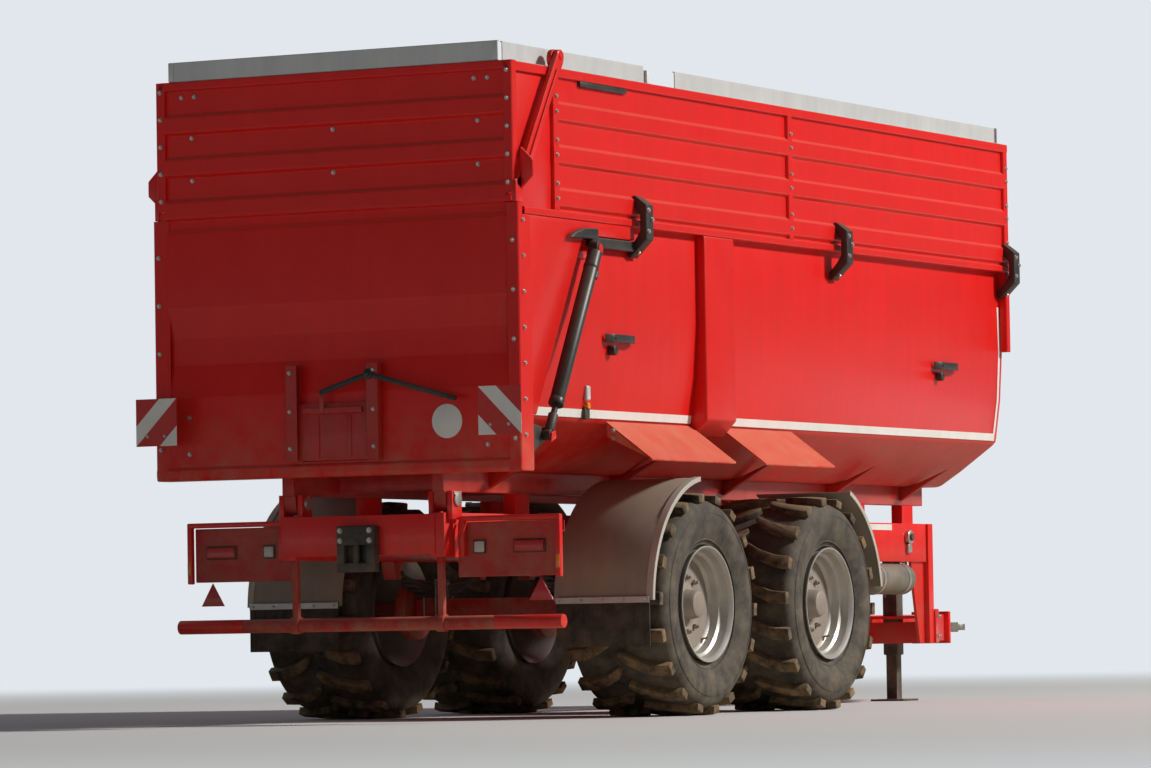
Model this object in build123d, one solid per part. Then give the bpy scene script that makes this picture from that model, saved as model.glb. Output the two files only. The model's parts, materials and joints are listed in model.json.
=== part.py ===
from build123d import *
import math
import os

# A tandem-axle farm tipping trailer with a half-pipe body, a high ribbed
# extension and a tailgate hung from the top. Millimetres. +X points forward to
# the hitch, +Y to the left, +Z up, and the ground is at Z = 0. Lengths along X
# are counted from the tailgate's rear face and every node is then moved back by
# MIDDLE_X, so that the origin is under the middle of the trailer. Widths are
# distances from the middle plane, and a right-hand piece lies at -Y.

# Load body
BODY_LENGTH = 7380
BODY_HALF_WIDTH = 1200
BODY_REAR_X = 180
WALL = 20
FLOOR_ABOVE_AXLE = 817
FLOOR_INSET = 560
BILGE_INSET = 280
BILGE_RISE = 110
KNEE_INSET = 120
KNEE_RISE = 304
LOWER_FOLD_INSET = 80
LOWER_FOLD_RISE = 598
PANEL_INSET = 60
UPPER_FOLD_RISE = 930
SIDE_HEIGHT = 1485
RAIL_HEIGHT = 45
EXTENSION_HEIGHT = 895
STRIP_HEIGHT = 120
STRIP_INSET = 69
STRIP_THICKNESS = 30
STRIP_FOOT = 8
STRIP_BREAK = (1920, 2350)

# Pillar, plates and outriggers on the sides
PILLAR_X = 2565
PILLAR_WIDTH = 420
PILLAR_OVERHANG = 74
CORNER_PLATE_PROUD = 52
CORNER_PLATE_DEPTH = 85
CORNER_PLATE_END_X = 1620
CORNER_PLATE_BEHIND_RAM = 100
FRONT_POST_WIDTH = 60
STIFFENER_HALF_WIDTH = 40
STIFFENER_DEPTH = 50
STIFFENER_Y = (-560, 0, 560)
OUTRIGGER_X = (900, 2500, 4100, 5700)
LAST_OUTRIGGER = 480
SUB_FRAME_SETBACK = 120
OUTRIGGER_THICKNESS = 50
DEFLECTOR_X = (1400, 4020)
DEFLECTOR_OUT = 200
DEFLECTOR_DROP = 242
DEFLECTOR_EDGE = 12
BRACKET_X = (1655, 4560)
BRACKET_WIDTH = 100
BRACKET_THICKNESS = 24
BRACKET_OUT = 80
BRACKET_TOP = (200, 165)
BRACKET_BENDS = (130, -70)
BRACKET_FOOT = (-155, -190)

# Ribbed extension
EXTENSION_THICKNESS = 14
RIB_DEPTH = 22
RIB_HEIGHT = 90
RIB_PITCH = 257
RIB_SLOPE = 18
RIB_COUNT = 3
RIB_DROP = 216
TOP_RAIL_HEIGHT = 55
POST_WIDTH = 70
REAR_POST_X = 565
MIDDLE_POST_X = 3810

# Tailgate
GATE_OVERHANG = 50
GATE_DEPTH = 60
GATE_GAP = 20
GATE_DROP = 30
GATE_RAIL_HEIGHT = 50
POST_FACE_WIDTH = 100
SILL_HEIGHT = 90
GATE_FOLDS = ((10, 1009), (42, 833), (42, 666), (14, 470))
GATE_RAIL_RISE = 60
GATE_PIVOT_X = 597
GATE_PIVOT_RISE = 60
GATE_PIN_RADIUS = 16
GATE_BOSS_RADIUS = 58
BORE_GAP = 0.4
ARM_THICKNESS = 30
ARM_WIDTH = 90
ARM_GAP = 8
ARM_FOOT = (55, 150)
KNUCKLE_OUT = 90
CHUTE_HALF_WIDTH = 235
CHUTE_RISE = 380
CHUTE_GUIDE_RISE = 640
CHUTE_GUIDE_WIDTH = 80
CHUTE_GUIDE_DEPTH = 46
CHUTE_PLATE_THICKNESS = 10
CHUTE_PLATE_X = -20
CHUTE_PLATE_LAP = 21
RUNNING_GAP = 0.5
LEVER_Y = -257
LEVER_RISE = 568
LEVER_HANDLE = (-590, -165)
LEVER_ARM = (325, -100)
LEVER_WIDTH = 34
LEVER_THICKNESS = 12
LEVER_HUB_RADIUS = 32
BOARD_SIZE = 286
BOARD_THICKNESS = 4
BOARD_CENTRE_INSET = 28
BOARD_RISE = 323
BOARD_OUT = 120
DISC_RADIUS = 102
DISC_Y = -750
DISC_RISE = 275

# Chassis
RAIL_OUT = 560
RAIL_WIDTH = 100
RAIL_DEPTH = 265
CHASSIS_REAR_X = 300
CHASSIS_SETBACK = 80
CROSS_X = (360, 1500, 3000, 4700)
LAST_CROSSES = (950, 100)
CROSS_HEIGHT = 150
CROSS_WIDTH = 120
CROSS_DROP = 60
PIVOT_X = 400
PIVOT_DROP = 175
PIVOT_ABOVE_RAIL = 80
PIVOT_PIN_RADIUS = 35
PIVOT_EAR_RADIUS = 70
SUB_RAIL_WIDTH = 80
SUB_RAIL_DEPTH = 130
PAD_X = (1300, 2900, 4500, 6200)
FRONT_FRAME_DEPTH = 80
FRONT_FRAME_LOW_Z = 411
FOOT_PLATE_THICKNESS = 14
FOOT_PLATE_LENGTH = 360
FOOT_PLATE_HEIGHT = 239
FRONT_BEAM_HEIGHT = 149
HEAD_BEAM_HEIGHT = 200

# Tipping cylinder
CYLINDER_X = 5290
CYLINDER_DROP = 110
STAGE_COUNT = 5
STAGE_STEP = 8.5
STAGE_WALL = 8
STAGE_RISE = 8
STAGE_FOOT_RISE = 4
BARREL_RADIUS = 112
BARREL_BELOW_FLOOR = 1115
BARREL_BASE = 20
BARREL_TOP_DROP = 110
TRUNNION_RADIUS = 32
CHEEK_DROP = 30
CHEEK_GAP = 50
EYE_HALF = 30
EYE_HEAD_RADIUS = 50
EYE_PIN_RADIUS = 24

# Tailgate cylinders
RAM_TOP_X = 999
RAM_TOP_DROP = 163
RAM_FOOT_X = 343
RAM_FOOT_RISE = 187
RAM_OUT = 45
RAM_RADIUS = 38
RAM_BORE = 30
RAM_ROD_RADIUS = 18
RAM_HEAD_RADIUS = 42
RAM_EYE_RADIUS = 34
RAM_EYE_OUT = 26
RAM_EYE_IN = 29
LUG_PLATE_THICKNESS = 15
LUG_PLATE_FOOT = (-127, 73)
LUG_PLATE_NOSE = ((30, 42), (42, -20), (-10, -50))
ANCHOR_HALF = 60
ANCHOR_THICKNESS = 12
ANCHOR_PIN_END = 34

# Running gear
TYRE_RADIUS = 683
TYRE_WIDTH = 710
TREAD_DEPTH = 38
LUG_ROOT = 22
BEAD_THICKNESS = 18
BEAD_INSET = 65
SHOULDER = 90
BEAD_RADIUS = 340
TRACK = 2150
REAR_AXLE_X = 2120
AXLE_SPACING = 1770
LUG_COUNT = 16
LUG_WIDTH = 70
LUG_LENGTH = 330
LUG_ANGLE = 34
LUG_CENTRE = 172
CARCASS_SIDES = 32
DISC_OFFSET = 130
DISC_THICKNESS = 22
HUB_RADIUS = 140
HUB_CAP_RADIUS = 85
HUB_CAP_LENGTH = 90
SPINDLE_RADIUS = 55
SPINDLE_GAP = 0.3
AXLE_SIZE = 130
AXLE_HALF_LENGTH = 620
DRUM_RADIUS = 190
SPRING_HALF_LENGTH = 520
SPRING_WIDTH = 90
SPRING_STACK = 85
SPRING_RISE = 150
SPRING_SEAT = 180
SPRING_LEAF = 22

# Drawbar
DRAWBAR_LENGTH = 1220
DRAWBAR_FRONT_HALF = 110
DRAWBAR_Z = 520
DRAWBAR_DEPTH = 190
DRAWBAR_WIDTH = 120
EYE_REACH = 450
EYE_BORE_RADIUS = 25
EYE_RADIUS = 70
EYE_THICKNESS = 45
EYE_SHANK = (90, 70)
EYE_FLANGE = (25, 260)
NOSE_PLATE = (30, 300, 230)
JACK_PLATE = (200, 600, 20)
JACK_PLATE_DROP = 30
JACK_SETBACK = 650
JACK_SIZE = 110
JACK_INNER = 84
JACK_TOP_Z = 1050
JACK_TUBE_LOW_Z = 330
JACK_FOOT_SIZE = 260
JACK_FOOT_THICKNESS = 14
JACK_GAP = 0.3

# Rear lights, bumper, fenders and tanks
BOARD_REAR_X = 440
LIGHT_BOARD_DROP = 120
LIGHT_BOARD_HEIGHT = 330
LIGHT_BOARD_THICKNESS = 30
LONG_LAMP = (25, 200, 70)
LONG_LAMP_INSET = 90
SMALL_LAMP = (20, 70, 70)
SMALL_LAMP_INSET = 115
LAMP_RISE = 180
REFLECTOR_INSET = 35
REFLECTOR_SIDE = 170
REFLECTOR_HEIGHT = 147
REFLECTOR_THICKNESS = 8
COUPLING_WIDTH = 260
COUPLING_RISE = (-80, 200)
COUPLING_SLOT = (50, 140)
COUPLING_SLOT_RISE = (-20, 80)
GUARD_THICKNESS = 35
GUARD_DEPTH = 45
GUARD_LEG_WIDTH = 40
GUARD_LEG_RISE = 120
GUARD_LEG_DROP = 10
BUMPER_X = 370
BUMPER_Z = 590
BUMPER_RADIUS = 42
BUMPER_HALF_LENGTH = 1320
BUMPER_CLAMP_Y = 500
FENDER_CLEARANCE = 102
FENDER_THICKNESS = 14
FENDER_WIDTH = 680
FENDER_OUT = 345
FENDER_LIP = 26
STAY_RADIUS = 18
FLAP_RISE = (-253, 52)
TANK_RADIUS = 108
TANK_LENGTH = 710
TANK_SETBACK = 610
TANK_DROP = 120
TANK_STRAP_SPACING = 210
TANK_STRAP_HALF = 25
TANK_STRAP_WIDTH = 80
TANK_Y = 510
COUPLING_X = 208

# Sizes that follow from these
FLOOR_Z = TYRE_RADIUS + FLOOR_ABOVE_AXLE
TREAD_RADIUS = TYRE_RADIUS - TREAD_DEPTH
FENDER_RADIUS = TYRE_RADIUS + FENDER_CLEARANCE
BARREL_BOTTOM_Z = FLOOR_Z - BARREL_BELOW_FLOOR
PANEL = BODY_HALF_WIDTH - PANEL_INSET
KNEE_Z = FLOOR_Z + KNEE_RISE
LOWER_FOLD_Z = FLOOR_Z + LOWER_FOLD_RISE
UPPER_FOLD_Z = FLOOR_Z + UPPER_FOLD_RISE
RAIL_Z = FLOOR_Z + SIDE_HEIGHT
EXTENSION_LOW_Z = RAIL_Z + RAIL_HEIGHT
BODY_TOP_Z = RAIL_Z + EXTENSION_HEIGHT
STRIP_TOP_Z = BODY_TOP_Z + STRIP_HEIGHT
EXTENSION_FACE = BODY_HALF_WIDTH - RIB_DEPTH
SHEET_REAR_X = GATE_DEPTH + GATE_GAP
GATE_OUT = BODY_HALF_WIDTH + GATE_OVERHANG
GATE_BOTTOM_Z = FLOOR_Z - GATE_DROP
GATE_RAIL_Z = RAIL_Z + GATE_RAIL_RISE
GATE_PIVOT_Z = BODY_TOP_Z + GATE_PIVOT_RISE
PIVOT_Z = FLOOR_Z - PIVOT_DROP
RAIL_TOP_Z = PIVOT_Z - PIVOT_ABOVE_RAIL
RAIL_LOW_Z = RAIL_TOP_Z - RAIL_DEPTH
RAIL_IN = RAIL_OUT - RAIL_WIDTH
TANK_Z = RAIL_LOW_Z - TANK_DROP
LIGHT_BOARD_LOW_Z = RAIL_LOW_Z - LIGHT_BOARD_DROP
CHASSIS_FRONT_X = BODY_LENGTH - CHASSIS_SETBACK
FRONT_FRAME_X = CHASSIS_FRONT_X + FRONT_FRAME_DEPTH
DRAWBAR_FRONT_X = FRONT_FRAME_X + DRAWBAR_LENGTH
EYE_X = DRAWBAR_FRONT_X + EYE_REACH
JACK_X = DRAWBAR_FRONT_X - JACK_SETBACK
RAM_TOP = (RAM_TOP_X, RAIL_Z - RAM_TOP_DROP)
RAM_FOOT = (RAM_FOOT_X, FLOOR_Z + RAM_FOOT_RISE)
RAM_Y = BODY_HALF_WIDTH + RAM_OUT
REAR_X = -BOARD_OUT
FRONT_X = EYE_X + EYE_RADIUS
MIDDLE_X = (REAR_X + FRONT_X) / 2
SIDES = (-1, 1)

os.makedirs("parts", exist_ok=True)


def block(x, y, z):
    """A box between two values along each axis."""
    size = Box(x[1] - x[0], y[1] - y[0], z[1] - z[0])
    return Pos((x[0] + x[1]) / 2, (y[0] + y[1]) / 2, (z[0] + z[1]) / 2) * size


def around(centre, half):
    """The two values that lie half on each side of centre."""
    return (centre - half, centre + half)


def along_x(outline, x0, x1):
    """A section of Y, Z points drawn out from x0 to x1."""
    face = make_face(Polyline(*[(x0, y, z) for y, z in outline], close=True))
    return extrude(face, amount=x1 - x0, dir=(1, 0, 0))


def along_y(outline, y0, y1):
    """A section of X, Z points drawn out from y0 to y1."""
    face = make_face(Polyline(*[(x, y0, z) for x, z in outline], close=True))
    return extrude(face, amount=y1 - y0, dir=(0, 1, 0))


def along_z(outline, z0, z1):
    """A section of X, Y points drawn out from z0 to z1."""
    face = make_face(Polyline(*[(x, y, z0) for x, y in outline], close=True))
    return extrude(face, amount=z1 - z0, dir=(0, 0, 1))


def pin_y(x, z, y0, y1, radius):
    """A round bar along Y."""
    return Pos(x, (y0 + y1) / 2, z) * Rot(90, 0, 0) * Cylinder(radius, y1 - y0)


def bar_between(start, end, y, width, thickness):
    """A flat bar in the X, Z plane between two points, centred on y."""
    length = math.dist(start, end)
    turn = math.degrees(math.atan2(end[1] - start[1], end[0] - start[0]))
    middle = Pos((start[0] + end[0]) / 2, y, (start[1] + end[1]) / 2)
    return middle * Rot(0, -turn, 0) * Box(length, thickness, width)


def tube_between(start, end, y, radius):
    """A round bar in the X, Z plane between two points."""
    length = math.dist(start, end)
    turn = math.degrees(math.atan2(end[1] - start[1], end[0] - start[0]))
    middle = Pos((start[0] + end[0]) / 2, y, (start[1] + end[1]) / 2)
    return middle * Rot(0, 90 - turn, 0) * Cylinder(radius, length)


def other_side(shape):
    return mirror(shape, about=Plane.XZ)


def across(side, low, high):
    """The two Y values at distances low and high on one side, the smaller first."""
    return tuple(sorted((side * low, side * high)))


def other_half(points):
    """The same points on the other side, in the order that closes the outline."""
    return [(-y, z) for y, z in points[::-1]]


def both_sides(*shapes):
    """The right-hand shapes and their mirrored left-hand ones."""
    return list(shapes) + [other_side(s) for s in shapes]


def write(node, *shapes):
    """Join what touches and write the node as its own file."""
    joined = shapes[0].fuse(*shapes[1:]) if len(shapes) > 1 else shapes[0]
    solids = [Pos(-MIDDLE_X, 0, 0) * s for s in joined.solids()]
    export_step(Compound(children=solids), f"parts/{node}.step")


def write_pair(name, *shapes):
    """Write a right-hand node and its mirrored left-hand one; shapes are on the right, at -Y."""
    write(name + "_right", *shapes)
    write(name + "_left", *[other_side(s) for s in shapes])


def ram_x(z):
    """Where the tailgate cylinder's line stands at a height."""
    return RAM_FOOT[0] + (z - RAM_FOOT[1]) * (RAM_TOP[0] - RAM_FOOT[0]) / (RAM_TOP[1] - RAM_FOOT[1])


def shell_section(inset):
    """The right-hand half of the body's section, floor to rail, moved in by inset."""
    corner = inset * math.tan(math.radians(35))
    return [
        (0, FLOOR_Z + inset),
        (FLOOR_INSET - BODY_HALF_WIDTH, FLOOR_Z + inset),
        (BILGE_INSET - BODY_HALF_WIDTH + corner, FLOOR_Z + BILGE_RISE + corner),
        (KNEE_INSET - BODY_HALF_WIDTH + inset, KNEE_Z),
        (LOWER_FOLD_INSET - BODY_HALF_WIDTH + inset, LOWER_FOLD_Z),
        (inset - PANEL, UPPER_FOLD_Z),
        (inset - PANEL, EXTENSION_LOW_Z),
    ]


outer = shell_section(0)
inner = shell_section(WALL)


def shell_part(first, last, x0, x1):
    """A stretch of the half-pipe wall on the right-hand side."""
    outline = outer[first:last + 1] + inner[first:last + 1][::-1]
    return along_x(outline, x0, x1)


def ribbed_section():
    """Out and Z points of a ribbed sheet, from its outer face down and back up its inner face."""
    points = [(0, BODY_TOP_Z)]
    for index in range(RIB_COUNT):
        top = BODY_TOP_Z - RIB_DROP - index * RIB_PITCH
        bottom = top - RIB_HEIGHT
        points += [(0, top + RIB_SLOPE), (RIB_DEPTH, top), (RIB_DEPTH, bottom), (0, bottom - RIB_SLOPE)]
    points += [(0, EXTENSION_LOW_Z), (-EXTENSION_THICKNESS, EXTENSION_LOW_Z)]
    return points + [(-EXTENSION_THICKNESS, BODY_TOP_Z)]


# Load body: floor, sides, front wall
floor_right = shell_part(0, 3, BODY_REAR_X, BODY_LENGTH - WALL)
write("bed_floor", *both_sides(floor_right))

panel = shell_part(3, 6, BODY_REAR_X, BODY_LENGTH - WALL)
rail_y = (-BODY_HALF_WIDTH, WALL - PANEL)
rail = block((BODY_REAR_X, BODY_LENGTH), rail_y, (RAIL_Z, EXTENSION_LOW_Z))
pillar_x = (PILLAR_X, PILLAR_X + PILLAR_WIDTH)
pillar_foot_z = KNEE_Z - PILLAR_OVERHANG
pillar_outline = [
    (-BODY_HALF_WIDTH, RAIL_Z),
    (-BODY_HALF_WIDTH, KNEE_Z),
    (outer[3][0] - WALL, pillar_foot_z),
    (inner[3][0], pillar_foot_z + PILLAR_OVERHANG * 0.8),
]
pillar = along_x(pillar_outline + inner[3:6] + [(inner[5][0], RAIL_Z)], *pillar_x)
pillar -= shell_part(2, 3, *pillar_x)
plate_low_z = RAIL_Z - CORNER_PLATE_DEPTH
corner_plate = along_y([
    (BODY_REAR_X, KNEE_Z),
    (ram_x(KNEE_Z) - CORNER_PLATE_BEHIND_RAM, KNEE_Z),
    (ram_x(plate_low_z) - CORNER_PLATE_BEHIND_RAM, plate_low_z),
    (CORNER_PLATE_END_X, plate_low_z),
    (CORNER_PLATE_END_X, RAIL_Z),
    (BODY_REAR_X, RAIL_Z),
], -PANEL - CORNER_PLATE_PROUD, outer[3][0])
corner_plate -= shell_part(2, 6, BODY_REAR_X, CORNER_PLATE_END_X)
corner_plate -= block((0, CORNER_PLATE_END_X), (WALL - PANEL, 0), (0, BODY_TOP_Z))
front_post = block((BODY_LENGTH - FRONT_POST_WIDTH, BODY_LENGTH), rail_y, (UPPER_FOLD_Z, RAIL_Z))
write_pair("bed_side", panel, rail, pillar, corner_plate, front_post)

wall_x = (BODY_LENGTH - WALL, BODY_LENGTH)
front_wall = along_x(outer + other_half(outer), *wall_x)
for side in SIDES:
    front_wall -= block(wall_x, across(side, PANEL - WALL, PANEL), (UPPER_FOLD_Z, EXTENSION_LOW_Z))
stiffeners = []
for y in STIFFENER_Y:
    stiffener_x = (BODY_LENGTH, BODY_LENGTH + STIFFENER_DEPTH)
    stiffener_z = (FLOOR_Z + STIFFENER_DEPTH, RAIL_Z)
    stiffeners.append(block(stiffener_x, around(y, STIFFENER_HALF_WIDTH), stiffener_z))
write("bed_front_wall", front_wall, *stiffeners)

# High extension on the sides and front
extension_z = (EXTENSION_LOW_Z, BODY_TOP_Z)
top_rail_z = (BODY_TOP_Z - TOP_RAIL_HEIGHT, BODY_TOP_Z)
sheet_in = EXTENSION_FACE - EXTENSION_THICKNESS
post_y = (-BODY_HALF_WIDTH, -EXTENSION_FACE)
last_post_x = BODY_LENGTH - POST_WIDTH
ribbed_outline = [(-EXTENSION_FACE - out, z) for out, z in ribbed_section()]
ribbed = along_x(ribbed_outline, REAR_POST_X, BODY_LENGTH - EXTENSION_THICKNESS)
plain_rear = block((SHEET_REAR_X, REAR_POST_X), (-EXTENSION_FACE, -sheet_in), extension_z)
top_rail = block((SHEET_REAR_X, BODY_LENGTH), post_y, top_rail_z)
side_posts = []
for x in (REAR_POST_X, MIDDLE_POST_X, last_post_x):
    side_posts.append(block((x, x + POST_WIDTH), post_y, extension_z))
boss_z = GATE_PIVOT_Z - 10
pivot_boss = pin_y(GATE_PIVOT_X, boss_z, -BODY_HALF_WIDTH - 2, -sheet_in, GATE_BOSS_RADIUS)
pin_end = -BODY_HALF_WIDTH - ARM_GAP - ARM_THICKNESS - 6
pivot_pin = pin_y(GATE_PIVOT_X, GATE_PIVOT_Z, pin_end, -BODY_HALF_WIDTH, GATE_PIN_RADIUS)
write_pair("side_extension", ribbed, plain_rear, top_rail, *side_posts, pivot_boss, pivot_pin)

front_outline = [(BODY_LENGTH - RIB_DEPTH + out, z) for out, z in ribbed_section()]
write("front_extension", along_y(front_outline, -sheet_in, sheet_in))

# Grey strips on the top edge
strip_out = BODY_HALF_WIDTH - STRIP_INSET
strip_in = strip_out - STRIP_THICKNESS
strip_z = (BODY_TOP_Z, STRIP_TOP_Z)
foot_z = (BODY_TOP_Z, BODY_TOP_Z + STRIP_FOOT)
strips = []
for x in ((SHEET_REAR_X, STRIP_BREAK[0]), (STRIP_BREAK[1], BODY_LENGTH - STRIP_THICKNESS)):
    strips.append(block(x, (-strip_out, -strip_in), strip_z))
    foot = block(x, (-EXTENSION_FACE, -strip_in), foot_z)
    boss_room = around(GATE_PIVOT_X, GATE_BOSS_RADIUS + 4)
    strips.append(foot - block(boss_room, (-BODY_HALF_WIDTH, -strip_out), strip_z))
front_strip = block((BODY_LENGTH - STRIP_THICKNESS, BODY_LENGTH), (-strip_out, strip_out), strip_z)
write("top_strips", front_strip, *both_sides(*strips))

# Bent bracket plates between the rail and the extension
brackets = []
bend_y = -BODY_HALF_WIDTH - BRACKET_OUT
for x in (*BRACKET_X, BODY_LENGTH - BRACKET_WIDTH / 2):
    outside = [
        (-EXTENSION_FACE, RAIL_Z + BRACKET_TOP[0]),
        (bend_y, RAIL_Z + BRACKET_BENDS[0]),
        (bend_y, RAIL_Z + BRACKET_BENDS[1]),
        (-PANEL, RAIL_Z + BRACKET_FOOT[1]),
    ]
    inside = [(y + BRACKET_THICKNESS, z) for y, z in outside[1:3]]
    outline = outside + [(-PANEL, RAIL_Z + BRACKET_FOOT[0])] + inside[::-1]
    outline.append((-EXTENSION_FACE, RAIL_Z + BRACKET_TOP[1]))
    plate = along_x(outline, *around(x, BRACKET_WIDTH / 2)).cut(ribbed, *side_posts, corner_plate, front_post)
    brackets += both_sides(plate)
write("extension_brackets", *brackets)

# Wheel deflectors under the side panels, closed at the rear by a small triangle
knee_y = outer[3][0]
deflector_out = -BODY_HALF_WIDTH - DEFLECTOR_OUT
deflector_low = KNEE_Z - DEFLECTOR_DROP
deflector = along_x([
    (knee_y, KNEE_Z),
    (deflector_out, deflector_low),
    (deflector_out + DEFLECTOR_EDGE, deflector_low - DEFLECTOR_EDGE),
    (knee_y, KNEE_Z - DEFLECTOR_EDGE * 2),
], *DEFLECTOR_X)
room_x = (PILLAR_X - 2, PILLAR_X + PILLAR_WIDTH + 2)
deflector -= block(room_x, (-BODY_HALF_WIDTH - 2, 0), (0, BODY_TOP_Z))
cap = along_x([
    (knee_y, KNEE_Z - DEFLECTOR_EDGE),
    (deflector_out + DEFLECTOR_EDGE, deflector_low),
    (knee_y + 12, KNEE_Z - 110),
], DEFLECTOR_X[0], DEFLECTOR_X[0] + DEFLECTOR_EDGE)
cap -= shell_part(2, 4, DEFLECTOR_X[0], DEFLECTOR_X[0] + DEFLECTOR_EDGE)
write("wheel_deflectors", *both_sides(deflector + cap))

# Bed sub-frame with hinge ears, outriggers and cylinder cheeks
sub_out = RAIL_OUT - 5
sub_in = sub_out - SUB_RAIL_WIDTH
sub_low = FLOOR_Z - SUB_RAIL_DEPTH
eye_z = PIVOT_Z + CYLINDER_DROP
sub_parts = []
outriggers = []
pivot_bores = []
for side in SIDES:
    y = across(side, sub_in, sub_out)
    sub_parts.append(block((PIVOT_X - 90, BODY_LENGTH - SUB_FRAME_SETBACK), y, (sub_low, FLOOR_Z)))
    sub_parts.append(pin_y(PIVOT_X, PIVOT_Z, *y, PIVOT_EAR_RADIUS))
    sub_parts.append(block(around(PIVOT_X, PIVOT_EAR_RADIUS), y, (PIVOT_Z, FLOOR_Z)))
    pivot_bores.append(pin_y(PIVOT_X, PIVOT_Z, y[0] - 1, y[1] + 1, PIVOT_PIN_RADIUS + BORE_GAP))
for x in (*OUTRIGGER_X, BODY_LENGTH - LAST_OUTRIGGER):
    beam_x = around(x, OUTRIGGER_THICKNESS / 2)
    outrigger = along_x([(-sub_out, sub_low + 30), (-sub_out, FLOOR_Z)] + outer[1:3], *beam_x)
    sub_parts.append(block(beam_x, (-sub_in, sub_in), (sub_low + 30, FLOOR_Z)))
    outriggers += both_sides(outrigger)
cheek_z = (eye_z - CHEEK_DROP, FLOOR_Z)
cheek = block(around(CYLINDER_X, 90), (-CHEEK_GAP - 20, -CHEEK_GAP), cheek_z)
for x in ((CYLINDER_X - 90, CYLINDER_X - 60), (CYLINDER_X + 60, CYLINDER_X + 90)):
    cheek += block(x, (-sub_out, -CHEEK_GAP), cheek_z)
sub_frame = sub_parts[0].fuse(*sub_parts[1:]).cut(*pivot_bores)
write("bed_sub_frame", sub_frame, *both_sides(cheek))
write("bed_outriggers", *outriggers)

# Tailgate, hung from the top
gate_half = BODY_HALF_WIDTH + 2
gate_sheet = [(x, FLOOR_Z + rise) for x, rise in GATE_FOLDS]
gate_low = GATE_BOTTOM_Z + 20
gate_outline = [(gate_sheet[0][0], GATE_RAIL_Z)] + gate_sheet + [
    (gate_sheet[-1][0], gate_low), (GATE_DEPTH, gate_low), (GATE_DEPTH, GATE_RAIL_Z)]
gate_panel = along_y(gate_outline, -GATE_OUT + 45, GATE_OUT - 45)
sill_top = GATE_BOTTOM_Z + SILL_HEIGHT
chute_z = (sill_top, FLOOR_Z + CHUTE_RISE)
gate_panel -= block((-GATE_DEPTH, GATE_DEPTH * 2), around(0, CHUTE_HALF_WIDTH), chute_z)
post_x = (0, BODY_REAR_X - GATE_GAP)
post_face_y = (-GATE_OUT, POST_FACE_WIDTH - GATE_OUT)
gate_posts = both_sides(
    block(post_x, post_face_y, (GATE_BOTTOM_Z, RAIL_Z - 12)),
    block((0, GATE_DEPTH), post_face_y, (RAIL_Z - 12, GATE_RAIL_Z)),
)
sill = block(post_x, (-GATE_OUT, GATE_OUT), (GATE_BOTTOM_Z, sill_top))
gate_top_z = GATE_RAIL_Z + GATE_RAIL_HEIGHT
gate_rail = block((0, GATE_DEPTH), (-gate_half, gate_half), (GATE_RAIL_Z, gate_top_z))
write("tailgate_panel", gate_panel, *gate_posts, sill, gate_rail)

upper_z = (gate_top_z, BODY_TOP_Z)
gate_ribbed = along_y([(RIB_DEPTH - out, z) for out, z in ribbed_section()], -gate_half, gate_half)
gate_ribbed &= block((0, GATE_DEPTH), (-gate_half, gate_half), upper_z)
gate_top_rail = block((0, RIB_DEPTH), (-gate_half, gate_half), top_rail_z)
edge_post = block((0, GATE_DEPTH), (-gate_half - 20, 45 - gate_half), upper_z)
write("tailgate_extension", gate_ribbed, gate_top_rail, *both_sides(edge_post))
write("tailgate_strip", block((0, STRIP_THICKNESS), (-strip_out, strip_out), strip_z))

arm_in = BODY_HALF_WIDTH + ARM_GAP
arm_y = (-arm_in - ARM_THICKNESS, -arm_in)
arm_middle = (arm_y[0] + arm_y[1]) / 2
arm_foot = (ARM_FOOT[0], RAIL_Z + ARM_FOOT[1])
arm_pin = (GATE_PIVOT_X, GATE_PIVOT_Z)
arm = bar_between(arm_pin, arm_foot, arm_middle, ARM_WIDTH, ARM_THICKNESS)
arm += pin_y(*arm_pin, *arm_y, ARM_WIDTH / 2)
arm += block((0, ARM_WIDTH), arm_y, (GATE_RAIL_Z, RAIL_Z + 190))
arm -= block((-ARM_WIDTH, GATE_PIVOT_X), (-GATE_OUT, 0), (0, GATE_RAIL_Z))
knuckle_y = arm_y[0] - KNUCKLE_OUT
knuckle = along_x([
    (arm_y[0], RAIL_Z + 130),
    (knuckle_y, RAIL_Z + 210),
    (knuckle_y, RAIL_Z + 310),
    (arm_y[0], RAIL_Z + 400),
], ARM_FOOT[0], ARM_FOOT[0] + 35)
arm_line = (ARM_FOOT[0] - 30, arm_foot[1] - 40)
knuckle &= bar_between(arm_pin, arm_line, knuckle_y, ARM_WIDTH * 1.6, KNUCKLE_OUT * 4)
arm -= pin_y(*arm_pin, arm_y[0] - 1, arm_y[1] + 1, GATE_PIN_RADIUS + BORE_GAP)
arm -= block((-ARM_WIDTH, GATE_DEPTH), (-gate_half - 20, 0), upper_z)
write_pair("tailgate_arm", arm, knuckle)

lug_out = RAM_Y - RAM_EYE_IN - RUNNING_GAP
gate_lug = along_y([
    *[(post_x[1], RAM_FOOT[1] + rise) for rise in LUG_PLATE_FOOT],
    *[(RAM_FOOT[0] + ahead, RAM_FOOT[1] + rise) for ahead, rise in LUG_PLATE_NOSE],
], -lug_out, LUG_PLATE_THICKNESS - lug_out)
write("tailgate_lugs", *both_sides(gate_lug))

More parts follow.
